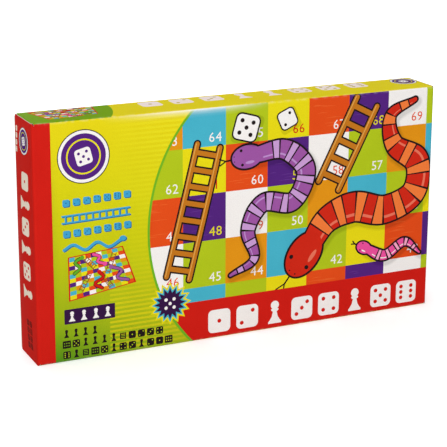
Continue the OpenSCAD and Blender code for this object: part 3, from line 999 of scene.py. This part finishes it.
def add_node(tree, kind, settings=None, inputs=None):
    """Adds a node with its settings. Inputs are given by name, or by number where names repeat."""
    node = tree.nodes.new("ShaderNode" + kind)
    for name, setting in (settings or {}).items():
        setattr(node, name, setting)
    for name, given in (inputs or {}).items():
        in_use = [socket for socket in node.inputs if socket.enabled]
        feed(in_use[name] if isinstance(name, int) else next(s for s in in_use if s.name == name), given)
    return node


def new_finish(name, roughness, **inputs):
    """A material with its surface shader, whose constant numbers are set on the shader itself."""
    material = bpy.data.materials.new(name)
    material.use_nodes = True
    shader = material.node_tree.nodes["Principled BSDF"]
    shader.inputs["Roughness"].default_value = roughness
    for key, given in inputs.items():
        shader.inputs[key.replace("_", " ")].default_value = given
    return material, material.node_tree, shader


def noise(tree, size_mm, detail=3.0, stretch=(1, 1, 1), flat=False):
    """Noise with a typical size in millimetres, on the card's flat measures or through a solid piece."""
    if flat:
        place, scale = add_node(tree, "UVMap", {"uv_map": "flat_sheet"}), HEIGHT / size_mm
    else:
        place, scale = add_node(tree, "TexCoord").outputs["Object"], 1 / (size_mm * MM)
    spread = add_node(tree, "Mapping", None, {"Vector": place, "Scale": stretch})
    return add_node(tree, "TexNoise", None, {"Vector": spread, "Scale": scale, "Detail": detail})


def wandering(tree, low, high, span=(0.3, 0.7), **pattern):
    """A number that wanders between two limits with a noise. Span is the part of the noise that counts."""
    return add_node(tree, "MapRange", None, {"Value": noise(tree, **pattern), "From Min": span[0],
                                             "From Max": span[1], "To Min": low, "To Max": high})


print("Noise of 1 mm on the sheet has a scale of", round(HEIGHT, 1))

# %% [markdown]
# Most finishes wander between two tones and have a slight relief, each after a noise of its own size. One
# function makes such a finish from its tones, its two noises and the depth of its relief.

# %% A finish of two tones
OF_COLOURS = {"data_type": "RGBA"}


def two_tone_finish(name, roughness, tones, mottling, relief=None, strength=0.0, depth_mm=0.0, **inputs):
    """A finish of two tones. Mottling and relief are settings of noise, and there may be no relief."""
    material, tree, shader = new_finish(name, roughness, **inputs)
    share = wandering(tree, 0, 1, **mottling)
    feed(shader.inputs["Base Color"],
         add_node(tree, "Mix", OF_COLOURS, {"Factor": share, "A": tones[0], "B": tones[1]}))
    if relief:
        feed(shader.inputs["Normal"],
             add_node(tree, "Bump", None, {"Height": noise(tree, **relief), "Strength": strength,
                                           "Distance": depth_mm * MM}))
    return material


print("Materials before the first finish:", len(bpy.data.materials))

# %% [markdown]
# ## Printed and bare card
#
# The carton is folding boxboard: a white-coated face, offset printed and film laminated, over a core of bare
# grey-cream pulp. The photograph shows hardly any reflection in the film, so its refraction is set very low
# and leaves a faint sheen. The ink lies a little unevenly, and on the creases the film is strained and small
# pale cracks show.

# %% Card finishes
CLOUD_SHARE, GRAIN_DARK, GRAIN_LIGHT, CRACK_SPAN, CRACK_SHARE = 0.05, 0.94, 1.04, (0.42, 0.72), 0.25
printed_card, tree, shader = new_finish("laminated_offset_print", 0.36, IOR=1.02)
printed = add_node(tree, "Attribute", {"attribute_name": "ink"})
cloudy = wandering(tree, 0, 1, size_mm=30, flat=True)
clouds = add_node(tree, "Mix", OF_COLOURS, {"Factor": cloudy, "A": ink("#000000"), "B": ink("#FFFFFF")})
uneven = add_node(tree, "Mix", {"data_type": "RGBA", "blend_type": "SOFT_LIGHT"},
                  {"Factor": CLOUD_SHARE, "A": printed, "B": clouds})
grain = wandering(tree, GRAIN_DARK, GRAIN_LIGHT, size_mm=0.8, detail=2.0, flat=True)
grained = add_node(tree, "VectorMath", {"operation": "SCALE"}, {"Vector": uneven, "Scale": grain})
worn = add_node(tree, "Attribute", {"attribute_name": "crease_wear"}).outputs["Fac"]
cracks = wandering(tree, 0, 1, span=CRACK_SPAN, size_mm=5.0, detail=5.0, flat=True)
cracked = add_node(tree, "Math", {"operation": "MULTIPLY"}, {0: worn, 1: cracks})
faint = add_node(tree, "Math", {"operation": "MULTIPLY"}, {0: cracked, 1: CRACK_SHARE})
feed(shader.inputs["Base Color"],
     add_node(tree, "Mix", OF_COLOURS, {"Factor": faint, "A": grained, "B": ink("#F4EFE6")}))
feed(shader.inputs["Normal"],
     add_node(tree, "Bump", None, {"Height": noise(tree, 9.0, 2.0, flat=True), "Strength": 0.25,
                                   "Distance": 0.25 * MM}))

FIBRES = {"stretch": (0.4, 1, 1), "flat": True}
bare_card = two_tone_finish("bare_folding_boxboard", 0.88, (ink("#C1B8A8"), ink("#D0C8B9")),
                            {"size_mm": 1.0, "detail": 6.0, **FIBRES},
                            {"size_mm": 0.7, "detail": 4.0, **FIBRES}, 0.4, 0.06)
print("Card finishes:", printed_card.name, "and", bare_card.name)

# %% [markdown]
# ## One piece of card
#
# Each piece of card starts as the printed skin. Solidify gives it the card's thickness inwards and puts the
# second material, bare card, on its inner face and its cut edges. The measures of the flat sheet stay on the
# mesh as a UV map, so a finish can follow the card round its bends, and a second attribute marks the creases,
# where a print wears first.

# %% Make a piece of card
WEAR_REACH, CARD_SMOOTH = 2.4, math.radians(35)


def choose(*pieces):
    """Selects only these pieces and makes the first one active."""
    bpy.ops.object.select_all(action="DESELECT")
    for piece in pieces:
        piece.select_set(True)
    bpy.context.view_layer.objects.active = pieces[0]


def card_piece(name, outline, axis, creases, worn, place):
    """Cuts one piece from the printed sheet, bends it with place, and thickens it inwards."""
    wear_limits = [at + reach for at in worn for reach in (-WEAR_REACH, WEAR_REACH)]
    flat, triangles, colours = cut_sheet(outline, axis, [*creases, *wear_limits])
    mesh = bpy.data.meshes.new(name)
    mesh.from_pydata((place(flat) * MM).tolist(), [], triangles.tolist())
    mesh.color_attributes.new("ink", "FLOAT_COLOR", "CORNER").data.foreach_set("color", colours.ravel())
    wear = np.zeros(len(flat))
    for at in worn:
        wear = np.maximum(wear, np.clip(1 - np.abs(flat[:, axis] - at) / WEAR_REACH, 0, 1))
    mesh.attributes.new("crease_wear", "FLOAT", "POINT").data.foreach_set("value", wear)
    uv = mesh.uv_layers.new(name="flat_sheet")
    uv.data.foreach_set("uv", (flat[triangles].reshape(-1, 2) / HEIGHT).ravel())
    piece = bpy.data.objects.new(name, mesh)
    bpy.context.collection.objects.link(piece)
    choose(piece)
    bpy.ops.object.modifier_add(type="SOLIDIFY")
    wall = piece.modifiers[-1]
    wall.thickness, wall.offset, wall.use_quality_normals = CARD * MM, -1, True
    wall.material_offset = wall.material_offset_rim = 1
    for material in (printed_card, bare_card):
        mesh.materials.append(material)
    bpy.ops.object.modifier_apply(modifier=wall.name)
    bpy.ops.object.shade_smooth_by_angle(angle=CARD_SMOOTH)
    print(name, "has", len(piece.data.vertices), "points and", len(piece.data.polygons), "faces")
    return piece


print("Creases show wear within", WEAR_REACH, "mm")

# %% [markdown]
# ## The sleeve
#
# Cover, top, back, bottom and glue flap are one strip of card, so they are made as one piece here. It goes
# from the end of the glue flap, under the carton, up the cover, over the top and down the back. Its outer
# creases look softer than their radius, because the card gives beside them, so they bend a little wider here.
# The panels of a filled carton are never quite flat, and each swells a little between its creases.

# %% Bend the sleeve
GLUE_BACK = BACK - GLUE_SETBACK
GLUE_END = BOTTOM_END - FLAP_REACH
BEND = 2.3
SLEEVE_CORNERS = [(GLUE_BACK, FLAP_REACH), (GLUE_BACK, 0), (COVER, 0), (COVER, HEIGHT), (BACK, HEIGHT),
                  (BACK, CREASE)]
SLEEVE_STRIP = bent_strip(SLEEVE_CORNERS, [CREASE, BEND, BEND, BEND], GLUE_END)
COVER_SWELL, TOP_SWELL, BACK_SWELL, SWELL_ROUNDNESS = 0.6, 0.3, 0.8, 1.5
SWELLS = [(0, COVER_TOP, (-1, 0), COVER_SWELL), (COVER_TOP, BACK_TOP, (0, 1), TOP_SWELL),
          (BACK_TOP, BACK_TOP + HEIGHT, (1, 0), BACK_SWELL)]


def sleeve_place(flat):
    """Where the sleeve's flat measures lie when it is folded."""
    section = along_strip(SLEEVE_STRIP, flat[:, 1])
    along = np.clip(np.sin(math.pi * flat[:, 0] / LENGTH), 0, 1)
    for low, high, direction, amount in SWELLS:
        share = np.clip((flat[:, 1] - low) / (high - low), 0, 1)
        rise = np.sin(math.pi * share) ** SWELL_ROUNDNESS * along * amount
        section = section + rise[:, None] * np.array(direction)
    return np.column_stack([LEFT + flat[:, 0], section])


print("Outer creases bend over", BEND, "mm")

# %% [markdown]
# The sleeve's outline steps in where the narrow sides are a little shorter than the cover, and the glue flap
# slopes at its ends, so that it slips in easily when the carton is glued.

# %% Cut the sleeve
GLUE_SLOPE = 6.0
GLUE_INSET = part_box("glue_flap")[0].x / MM - LEFT
BACK_END = SLEEVE_STRIP[0][-1]
left_side = [(GLUE_INSET + GLUE_SLOPE, GLUE_END), (GLUE_INSET, BOTTOM_END - CREASE),
             (SLEEVE_INSET, BOTTOM_END - CREASE), (SLEEVE_INSET, -BEND), (BEND, BEND), (BEND, HEIGHT - BEND),
             (SLEEVE_INSET, HEIGHT + BEND), (SLEEVE_INSET, BACK_TOP + CREASE), (0, BACK_TOP + 2 * CREASE),
             (0, BACK_END)]
right_side = [(LENGTH - u, h) for u, h in reversed(left_side)]
sleeve = card_piece("carton_sleeve", left_side + right_side, UP, SLEEVE_STRIP[0][1:-1],
                    (0, COVER_TOP, BACK_TOP), sleeve_place)
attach(sleeve, "carton")
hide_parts("front_panel", "top_panel", "back_panel", "bottom_panel", "glue_flap")

# %% [markdown]
# ## The closures
#
# Each end of the carton is closed by a panel that is creased on the cover and tucks its tongue in behind the
# back panel. The tongue keeps a slight curve from being bent in. The panel swells a little between its two
# creases and leans out towards the back, which shades it from its crease to its back edge. Panel and tongue
# are one piece, which follows the carton up to the crease and the closure past it.

# %% The closure's section and outline
TONGUE_STEPS, TONGUE_FOLD, TONGUE_CORNER, CLOSURE_CORNER = 6, 0.8, 6.0, 2.0
CLOSURE_LOW, CLOSURE_HIGH = (corner.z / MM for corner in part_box("left_closure"))
TONGUE_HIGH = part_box("left_tongue")[1].z / MM
ring = [(LEFT + TONGUE_RADIUS * math.sin(a), COVER + TONGUE_RADIUS * math.cos(a))
        for a in np.linspace(TONGUE_ANGLE / TONGUE_STEPS, TONGUE_ANGLE, TONGUE_STEPS)]
CLOSURE_STRIP = bent_strip([(LEFT + BEND, COVER), (LEFT, COVER), (LEFT, COVER + TONGUE_RADIUS)] + ring,
                           [BEND, TONGUE_FOLD] + [0] * (TONGUE_STEPS - 1), 0)
CLOSURE_REACH, TONGUE_REACH = BEND + TONGUE_RADIUS, CLOSURE_STRIP[0][-1]


def outer_corner(reach, high, radius):
    """Points round an outer corner, from its upper edge down."""
    return quarter_round((reach - radius, high - radius), radius, 0)[::-1]


UPPER_HALF = [(0, HEIGHT - BEND), (BEND, CLOSURE_HIGH),
              *outer_corner(CLOSURE_REACH, CLOSURE_HIGH, CLOSURE_CORNER), (CLOSURE_REACH, TONGUE_HIGH),
              *outer_corner(TONGUE_REACH, TONGUE_HIGH, TONGUE_CORNER)]
LOWER_HALF = [(measure, CLOSURE_LOW + CLOSURE_HIGH - h) for measure, h in reversed(UPPER_HALF)]
print("A closure reaches", round(CLOSURE_REACH, 1), "mm and its tongue", round(TONGUE_REACH, 1), "mm")

# %% Make the two closures
# Each end has a name and a side, and its closure leans out and swells by so many millimetres.
ENDS = [("left", -1, 1.5, 1.4), ("right", 1, 0.6, 0.9)]


def make_closure(name, side, lean, swell):
    """One closure with its tongue. Side is -1 at the left end and 1 at the right end."""
    def flat_u(measure):
        return BEND - measure if side < 0 else LENGTH - BEND + measure

    def place(flat):
        measure = BEND - flat[:, 0] if side < 0 else flat[:, 0] - LENGTH + BEND
        section = along_strip(CLOSURE_STRIP, measure)
        middle = np.clip(np.sin(math.pi * flat[:, 1] / HEIGHT), 0, 1)
        reach = np.clip((measure - 2 * BEND) / (CLOSURE_REACH - 2 * BEND), 0, 1)
        x = section[:, 0] - middle * (lean * reach + swell * np.sin(math.pi * reach))
        return np.column_stack([-side * x, section[:, 1], flat[:, 1]])

    outline = [(flat_u(measure), h) for measure, h in UPPER_HALF + LOWER_HALF]
    creases = [flat_u(measure) for measure in CLOSURE_STRIP[0][1:-1]]
    fold = -DEPTH + CARD if side < 0 else LENGTH + DEPTH - CARD
    piece = card_piece(name + "_end_closure", outline, ACROSS, creases, [fold], place)
    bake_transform(piece)
    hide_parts(name + "_closure", name + "_tongue")


for name, side, lean, swell in ENDS:
    make_closure(name, side, lean, swell)
    print("The", name, "closure leans out", lean, "mm and swells", swell, "mm")

# %% [markdown]
# ## The dust flaps
#
# Behind each closure two smaller flaps fold in from the narrow sides and keep dust off the contents. Their
# fronts slope so that they clear its crease.

# %% Make the four dust flaps
FLAP_LENGTH = node_size("left_top_dust_flap").z
FRONT_SLOPE_SHARE, BACK_SLOPE_SHARE = 0.6, 0.12
FLAP_FRONT, FLAP_BEHIND = (corner.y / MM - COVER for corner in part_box("left_top_dust_flap"))
FLAP_BEND = SLEEVE_INSET - FLAP_INSET
FLAP_END = FLAP_BEND + FLAP_LENGTH
FLAP_CORNERS = [(LEFT + SLEEVE_INSET, 0), (LEFT + FLAP_INSET, 0), (LEFT + FLAP_INSET, -FLAP_LENGTH)]
FLAP_STRIP = bent_strip(FLAP_CORNERS, [FLAP_BEND], 0)
FLAP_OUTLINE = [(0, FLAP_FRONT), (FLAP_BEND, FLAP_FRONT),
                (FLAP_END, FLAP_FRONT + FRONT_SLOPE_SHARE * FLAP_LENGTH),
                (FLAP_END, FLAP_BEHIND - BACK_SLOPE_SHARE * FLAP_LENGTH),
                (FLAP_BEND, FLAP_BEHIND), (0, FLAP_BEHIND)]


def make_dust_flap(name, side, sense, edge):
    """One dust flap. Side is -1 or 1 for the left or right end, and sense is 1 at the top edge, else -1."""
    def flat_u(measure):
        return SLEEVE_INSET - measure if side < 0 else LENGTH - SLEEVE_INSET + measure

    def place(flat):
        measure = SLEEVE_INSET - flat[:, 0] if side < 0 else flat[:, 0] - LENGTH + SLEEVE_INSET
        section = along_strip(FLAP_STRIP, measure)
        y = COVER + np.abs(flat[:, 1] - edge)
        return np.column_stack([-side * section[:, 0], y, edge + sense * section[:, 1]])

    outline = [(flat_u(measure), edge + sense * d) for measure, d in FLAP_OUTLINE]
    creases = [flat_u(measure) for measure in FLAP_STRIP[0][1:-1]]
    piece = card_piece(name + "_card", outline, ACROSS, creases, [], place)
    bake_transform(piece)
    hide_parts(name)


for end, side, *_ in ENDS:
    for level, sense, edge in (("top", 1, HEIGHT), ("bottom", -1, 0)):
        make_dust_flap(end + "_" + level + "_dust_flap", side, sense, edge)
print("Each dust flap reaches", round(FLAP_LENGTH, 1), "mm over the opening")

# %% [markdown]
# ## The loose pieces
#
# The pawns are injection moulded polystyrene, glossy and a little translucent. A pawn is a turned shape, so
# it is drawn as a ring that is extruded upwards and drawn in or out again at each step of its profile.

# %% Moulded plastic
DARKER_SHARE, CLOUDY_REACH = 0.82, (0.002, 0.001, 0.001)


def moulded_plastic(name, colour):
    """Glossy, slightly cloudy plastic of one colour, with flow marks along its height."""
    darker = tuple(c * DARKER_SHARE for c in colour[:3]) + (1.0,)
    return two_tone_finish(name, 0.22, (colour, darker), {"size_mm": 6.0, "stretch": (1, 1, 0.4)},
                           {"size_mm": 1.5}, 0.15, 0.05, IOR=1.55, Coat_Weight=0.2, Subsurface_Weight=0.12,
                           Subsurface_Radius=CLOUDY_REACH)


PAWN_INKS = {"pawn_red": ink("#C81E1E"), "pawn_yellow": ink("#E8C21C"), "pawn_green": ink("#2E9440"),
             "pawn_blue": ink("#1F57B4")}
print("Pawn colours:", len(PAWN_INKS))

# %% Turn the pawns
FOOT_RADIUS, NECK_RADIUS, HEAD_RADIUS, HEAD_RINGS, TIP_ANGLE, PAWN_SIDES = 5.9, 2.9, 4.4, 9, 0.12, 40
PAWN_SMOOTH = math.radians(40)
PAWN_PROFILE = [(0.4, 6.5), (1.4, 6.5), (2.2, 5.9), (3.4, 4.9), (6.5, 3.7), (10.5, 2.8), (15.0, 2.4),
                (16.0, 2.5), (16.2, 3.6), (16.7, 3.8), (17.1, 3.6), (17.3, NECK_RADIUS)]
head_middle = node_size("pawn_red").z - HEAD_RADIUS
head_start = math.asin(NECK_RADIUS / HEAD_RADIUS)
for t in np.linspace(math.pi - head_start, TIP_ANGLE, HEAD_RINGS)[1:]:
    PAWN_PROFILE.append((head_middle + HEAD_RADIUS * math.cos(t), HEAD_RADIUS * math.sin(t)))


def make_pawn(node):
    """A pawn where its solid stands, extruded ring by ring from its foot."""
    low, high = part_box(node)
    foot = (low + high) / 2
    foot.z = low.z
    bpy.ops.object.select_all(action="DESELECT")
    bpy.ops.mesh.primitive_circle_add(vertices=PAWN_SIDES, radius=FOOT_RADIUS * MM, fill_type="NGON",
                                      location=foot)
    pawn = bpy.context.object
    pawn.name = node + "_moulding"
    bpy.ops.object.transform_apply(location=True, rotation=False, scale=False)
    bpy.ops.object.mode_set(mode="EDIT")
    bpy.ops.mesh.select_all(action="SELECT")
    level, width = 0.0, FOOT_RADIUS
    for height, radius in PAWN_PROFILE:
        bpy.ops.mesh.extrude_region_move(TRANSFORM_OT_translate={"value": (0, 0, (height - level) * MM)})
        share = radius / width
        bpy.ops.transform.resize(value=(share, share, 1), center_override=foot)
        level, width = height, radius
    bpy.ops.mesh.select_all(action="SELECT")
    bpy.ops.mesh.normals_make_consistent(inside=False)
    bpy.ops.object.mode_set(mode="OBJECT")
    pawn.data.materials.append(moulded_plastic("moulded_polystyrene_" + node.split("_")[1], PAWN_INKS[node]))
    bpy.ops.object.shade_smooth_by_angle(angle=PAWN_SMOOTH)
    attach(pawn, "carton")
    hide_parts(node)
    print(pawn.name, "has", len(pawn.data.polygons), "faces")


for node in PAWN_INKS:
    make_pawn(node)

# %% [markdown]
# The die starts as a cube whose edges are bevelled round. Its pips are small hollows with black paint: balls
# of the right size mark them, and one boolean cuts them all and leaves the balls' paint in the hollows.

# %% Cast the die
DIE_ROUND, DIE_ROUND_STEPS, DIE_SMOOTH = 1.2, 4, math.radians(25)
die_low, die_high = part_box("die")
die_middle, die_side = (die_low + die_high) / 2, (die_high - die_low).x
bpy.ops.object.select_all(action="DESELECT")
bpy.ops.mesh.primitive_cube_add(size=die_side, location=die_middle)
die = bpy.context.object
die.name = "die_moulding"
bpy.ops.object.transform_apply(location=True, rotation=False, scale=False)
bpy.ops.object.modifier_add(type="BEVEL")
edge = die.modifiers[-1]
edge.width, edge.segments = DIE_ROUND * MM, DIE_ROUND_STEPS
bpy.ops.object.modifier_apply(modifier=edge.name)
die_plastic = moulded_plastic("cast_white_die_plastic", ink("#F2EEE4"))
pip_paint = two_tone_finish("black_pip_paint", 0.4, (ink("#151314"), ink("#2A2728")), {"size_mm": 0.6})
for material in (die_plastic, pip_paint):
    die.data.materials.append(material)
print("Die of", round(die_side / MM, 1), "mm")

# %% Hollow the pips
PIP_RADIUS, PIP_STEP, PIP_DEPTH = 1.5, 4.0, 0.5
DIE_FACES = [((0, 0, 1), 6), ((0, 0, -1), 1), ((1, 0, 0), 3), ((-1, 0, 0), 4), ((0, -1, 0), 5),
             ((0, 1, 0), 2)]
ball = ((PIP_RADIUS ** 2 + PIP_DEPTH ** 2) / (2 * PIP_DEPTH)) * MM
balls = []
for normal, pips in DIE_FACES:
    normal = Vector(normal)
    across = Vector((0, 0, 1)) if abs(normal.z) < 0.5 else Vector((1, 0, 0))
    up = normal.cross(across)
    face = die_middle + normal * (die_side / 2 - PIP_DEPTH * MM + ball)
    for a, b in PIP_SPOTS[pips]:
        bpy.ops.object.select_all(action="DESELECT")
        bpy.ops.mesh.primitive_uv_sphere_add(segments=32, ring_count=24, radius=ball,
                                             location=face + (across * a + up * b) * PIP_STEP * MM)
        balls.append(bpy.context.object)
choose(*balls)
bpy.ops.object.join()
cutter = bpy.context.object
bpy.ops.object.transform_apply(location=True, rotation=True, scale=True)
cutter.data.materials.append(pip_paint)
choose(die)
bpy.ops.object.modifier_add(type="BOOLEAN")
hollows = die.modifiers[-1]
hollows.operation, hollows.object, hollows.solver = "DIFFERENCE", cutter, "EXACT"
hollows.material_mode = "TRANSFER"
bpy.ops.object.modifier_apply(modifier=hollows.name)
bpy.data.objects.remove(cutter)
choose(die)
bpy.ops.object.shade_smooth_by_angle(angle=DIE_SMOOTH)
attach(die, "carton")
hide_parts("die")
print("Die of", len(die.data.polygons), "faces")

# %% [markdown]
# ## Board, tape, insert and leaflet
#
# These solids have the right shape already: flat boards, thin papers and folded card. They keep their meshes
# and get finishes of their own, each on Object coordinates, because the solids have no flat measures. Grey
# board is pressed waste paper with flecks, its wrap is an embossed paper, and the insert and the leaflet are
# uncoated, so they look matt.

# %% Finishes of the flat contents
def dress(nodes, material):
    """Gives solids of the frame one finish."""
    for node in nodes:
        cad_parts[node].data.materials.clear()
        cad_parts[node].data.materials.append(material)


dress(["board_rear_half", "board_front_half"],
      two_tone_finish("recycled_grey_board", 0.92, (ink("#7E7A72"), ink("#A39E94")),
                      {"size_mm": 1.2, "detail": 6.0, "stretch": (1, 4, 1), "span": (0.35, 0.65)},
                      {"size_mm": 0.8, "detail": 5.0}, 0.5, 0.1))
dress(["board_rear_wrap", "board_front_wrap"],
      two_tone_finish("embossed_wrap_paper", 0.6, (ink("#23408E"), ink("#2B4A9C")), {"size_mm": 3.0},
                      {"size_mm": 0.9, "detail": 2.0, "stretch": (1, 1, 0.3)}, 0.5, 0.08))
dress(["piece_insert"],
      two_tone_finish("uncoated_white_card", 0.85, (ink("#D9D4C8"), ink("#E9E5DC")),
                      {"size_mm": 4.0, "detail": 5.0, "stretch": (1, 1, 2)},
                      {"size_mm": 0.7, "detail": 4.0}, 0.4, 0.05))
dress(["leaflet"],
      two_tone_finish("uncoated_leaflet_paper", 0.8, (ink("#F0EFEA"), ink("#FAF9F5")),
                      {"size_mm": 7.0, "detail": 4.0}, {"size_mm": 5.0, "detail": 3.0}, 0.3, 0.2))
print("Finishes so far:", len(bpy.data.materials))

# %% [markdown]
# The tape over the fold is a woven cloth. Two sets of waves, across and along, are multiplied to give its
# threads, which are drawn at their real spacing.

# %% Finish of the tape
THREAD, WEAVE_WANDER = 0.6, 0.6
WAVE_SCALE = 1 / (THREAD * MM) / math.tau / math.pi
tape_cloth, tree, shader = new_finish("woven_binding_tape", 0.75)
place = add_node(tree, "TexCoord").outputs["Object"]
threads = [add_node(tree, "TexWave", {"bands_direction": axis},
                    {"Vector": place, "Scale": WAVE_SCALE, "Distortion": WEAVE_WANDER}).outputs["Fac"]
           for axis in ("X", "Z")]
weave = add_node(tree, "Math", {"operation": "MULTIPLY"}, {0: threads[0], 1: threads[1]})
feed(shader.inputs["Base Color"],
     add_node(tree, "Mix", OF_COLOURS, {"Factor": weave, "A": ink("#15161C"), "B": ink("#2C2E38")}))
feed(shader.inputs["Normal"],
     add_node(tree, "Bump", None, {"Height": weave, "Strength": 0.6, "Distance": 0.12 * MM}))
dress(["board_tape"], tape_cloth)
print("Tape threads every", THREAD, "mm")

# %% [markdown]
# ## The board's printed faces
#
# Each half of the board carries five rows of ten squares inside a red border. Their edges fall on whole steps
# of the square's size, so rounding down the place across and the place up gives the square, and a stepped
# ramp gives its colour.

# %% The square and its place in the row of colours
SQUARE_SIZE, FOLD_SETBACK, HALF_SQUARES = 32.0, 1.05, 5.0
FOLD_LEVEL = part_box("board_tape")[1].z / MM - FOLD_SETBACK
COLUMN_SHARE, ROW_SHARE, FIRST_SHARE = 0.375, 0.625, 10.01
board_print, tree, shader = new_finish("litho_printed_board_paper", 0.45, Coat_Weight=0.1)
place = add_node(tree, "SeparateXYZ", None, {"Vector": add_node(tree, "TexCoord").outputs["Object"]})
across = add_node(tree, "Math", {"operation": "DIVIDE"}, {0: place.outputs["X"], 1: SQUARE_SIZE * MM})
below = add_node(tree, "Math", {"operation": "SUBTRACT"}, {0: FOLD_LEVEL * MM, 1: place.outputs["Z"]})
downward = add_node(tree, "Math", {"operation": "DIVIDE"}, {0: below, 1: SQUARE_SIZE * MM})
column = add_node(tree, "Math", {"operation": "FLOOR"}, {0: across})
row = add_node(tree, "Math", {"operation": "FLOOR"}, {0: downward})
share = add_node(tree, "Math", {"operation": "MULTIPLY_ADD"}, {0: column, 1: COLUMN_SHARE, 2: FIRST_SHARE})
share = add_node(tree, "Math", {"operation": "MULTIPLY_ADD"}, {0: row, 1: ROW_SHARE, 2: share})
share = add_node(tree, "Math", {"operation": "FRACT"}, {0: share})
print("Squares of", SQUARE_SIZE, "mm from the fold at", round(FOLD_LEVEL, 1), "mm")

# %% The colours, the border and the finish
TONE_DARK, TONE_LIGHT = 0.93, 1.03
ramp = add_node(tree, "ValToRGB", None, {"Fac": share})
ramp.color_ramp.interpolation = "CONSTANT"
for i, tile in enumerate(TILE_INKS):
    stop = ramp.color_ramp.elements[i] if i < 2 else ramp.color_ramp.elements.new(i / len(TILE_INKS))
    stop.position, stop.color = i / len(TILE_INKS), tile
aside = add_node(tree, "Math", {"operation": "ABSOLUTE"}, {0: across})
furthest = add_node(tree, "Math", {"operation": "MAXIMUM"}, {0: aside, 1: downward})
margin = add_node(tree, "Math", {"operation": "GREATER_THAN"}, {0: furthest, 1: HALF_SQUARES})
squares = add_node(tree, "Mix", OF_COLOURS, {"Factor": margin, "A": ramp, "B": RED})
tone = wandering(tree, TONE_DARK, TONE_LIGHT, size_mm=12.0)
feed(shader.inputs["Base Color"],
     add_node(tree, "VectorMath", {"operation": "SCALE"}, {"Vector": squares, "Scale": tone}))
feed(shader.inputs["Normal"],
     add_node(tree, "Bump", None, {"Height": noise(tree, 4.0, 2.0), "Strength": 0.2, "Distance": 0.1 * MM}))
dress(["board_rear_print", "board_front_print"], board_print)
print("Finishes:", len(bpy.data.materials))

# %% [markdown]
# ## Stage and light
#
# The photograph is a plain studio cut-out: white all round, even light on the cover, a brighter top and a
# darker left end. One broad lamp ahead and to the left, one above and one behind give that. The world looks
# white to the camera and lights the carton only gently. The floor glows for the camera, more further off, so
# that it stays white and still keeps a soft shadow beside the carton.

# %% Floor
FLOOR_SIDE, GLOW_NEAR, GLOW_FAR, SHADOW_REACH, WHITE_REACH = 8, 0.4, 1.0, 0.4, 1.2


def looked_at(tree):
    """One for what the camera sees, also in a reflection or through clear matter, and zero for lighting."""
    rays = add_node(tree, "LightPath").outputs
    seen = rays["Is Camera Ray"]
    for ray in ("Is Glossy Ray", "Is Transmission Ray"):
        seen = add_node(tree, "Math", {"operation": "MAXIMUM"}, {0: seen, 1: rays[ray]})
    return seen


studio_white = two_tone_finish("matt_studio_white", 0.9, (ink("#F0F0F0"), ink("#F4F4F4")),
                               {"size_mm": 40.0, "detail": 2.0}, Specular_IOR_Level=0.1,
                               Emission_Color=(1, 1, 1, 1))
tree = studio_white.node_tree
floor_place = add_node(tree, "TexCoord").outputs["Object"]
distance = add_node(tree, "VectorMath", {"operation": "LENGTH"}, {"Vector": floor_place})
glow = add_node(tree, "MapRange", None, {"Value": distance, "From Min": SHADOW_REACH, "From Max": WHITE_REACH,
                                         "To Min": GLOW_NEAR, "To Max": GLOW_FAR})
feed(tree.nodes["Principled BSDF"].inputs["Emission Strength"],
     add_node(tree, "Math", {"operation": "MULTIPLY"}, {0: looked_at(tree), 1: glow}))
bpy.ops.object.select_all(action="DESELECT")
bpy.ops.mesh.primitive_plane_add(size=FLOOR_SIDE)
floor = bpy.context.object
floor.name = "studio_floor"
floor.data.materials.append(studio_white)
print("Floor of", FLOOR_SIDE, "m")

# %% World
WORLD_LEVEL = 0.36
world = bpy.data.worlds.new("studio_world")
bpy.context.scene.world = world
world.use_nodes = True
tree = world.node_tree
background = tree.nodes["Background"]
background.inputs["Color"].default_value = (1, 1, 1, 1)
feed(background.inputs["Strength"],
     add_node(tree, "MapRange", None, {"Value": looked_at(tree), "To Min": WORLD_LEVEL, "To Max": 1.0}))
print("The world lights at", WORLD_LEVEL)

# %% Lamps
def soft_lamp(name, place, power, size):
    """A square lamp that faces the carton."""
    bpy.ops.object.select_all(action="DESELECT")
    bpy.ops.object.light_add(type="AREA", location=place)
    lamp = bpy.context.object
    lamp.name = name
    lamp.data.energy, lamp.data.size = power, size
    lamp.rotation_euler = (aim - lamp.location).to_track_quat("-Z", "Y").to_euler()
    print(name, "of", power, "W")


soft_lamp("front_lamp", place=(-0.66, -1.39, 0.8), power=17.5, size=1.3)
soft_lamp("back_lamp", place=(-0.1, 1.7, 0.6), power=9.0, size=0.9)
soft_lamp("top_lamp", place=(0.0, 0.1, 1.6), power=6.5, size=1.3)
bpy.context.scene.view_settings.view_transform = "Standard"

# %% Print the frame's size
print("CAD box", [round(c / MM, 1) for c in cad_high - cad_low])
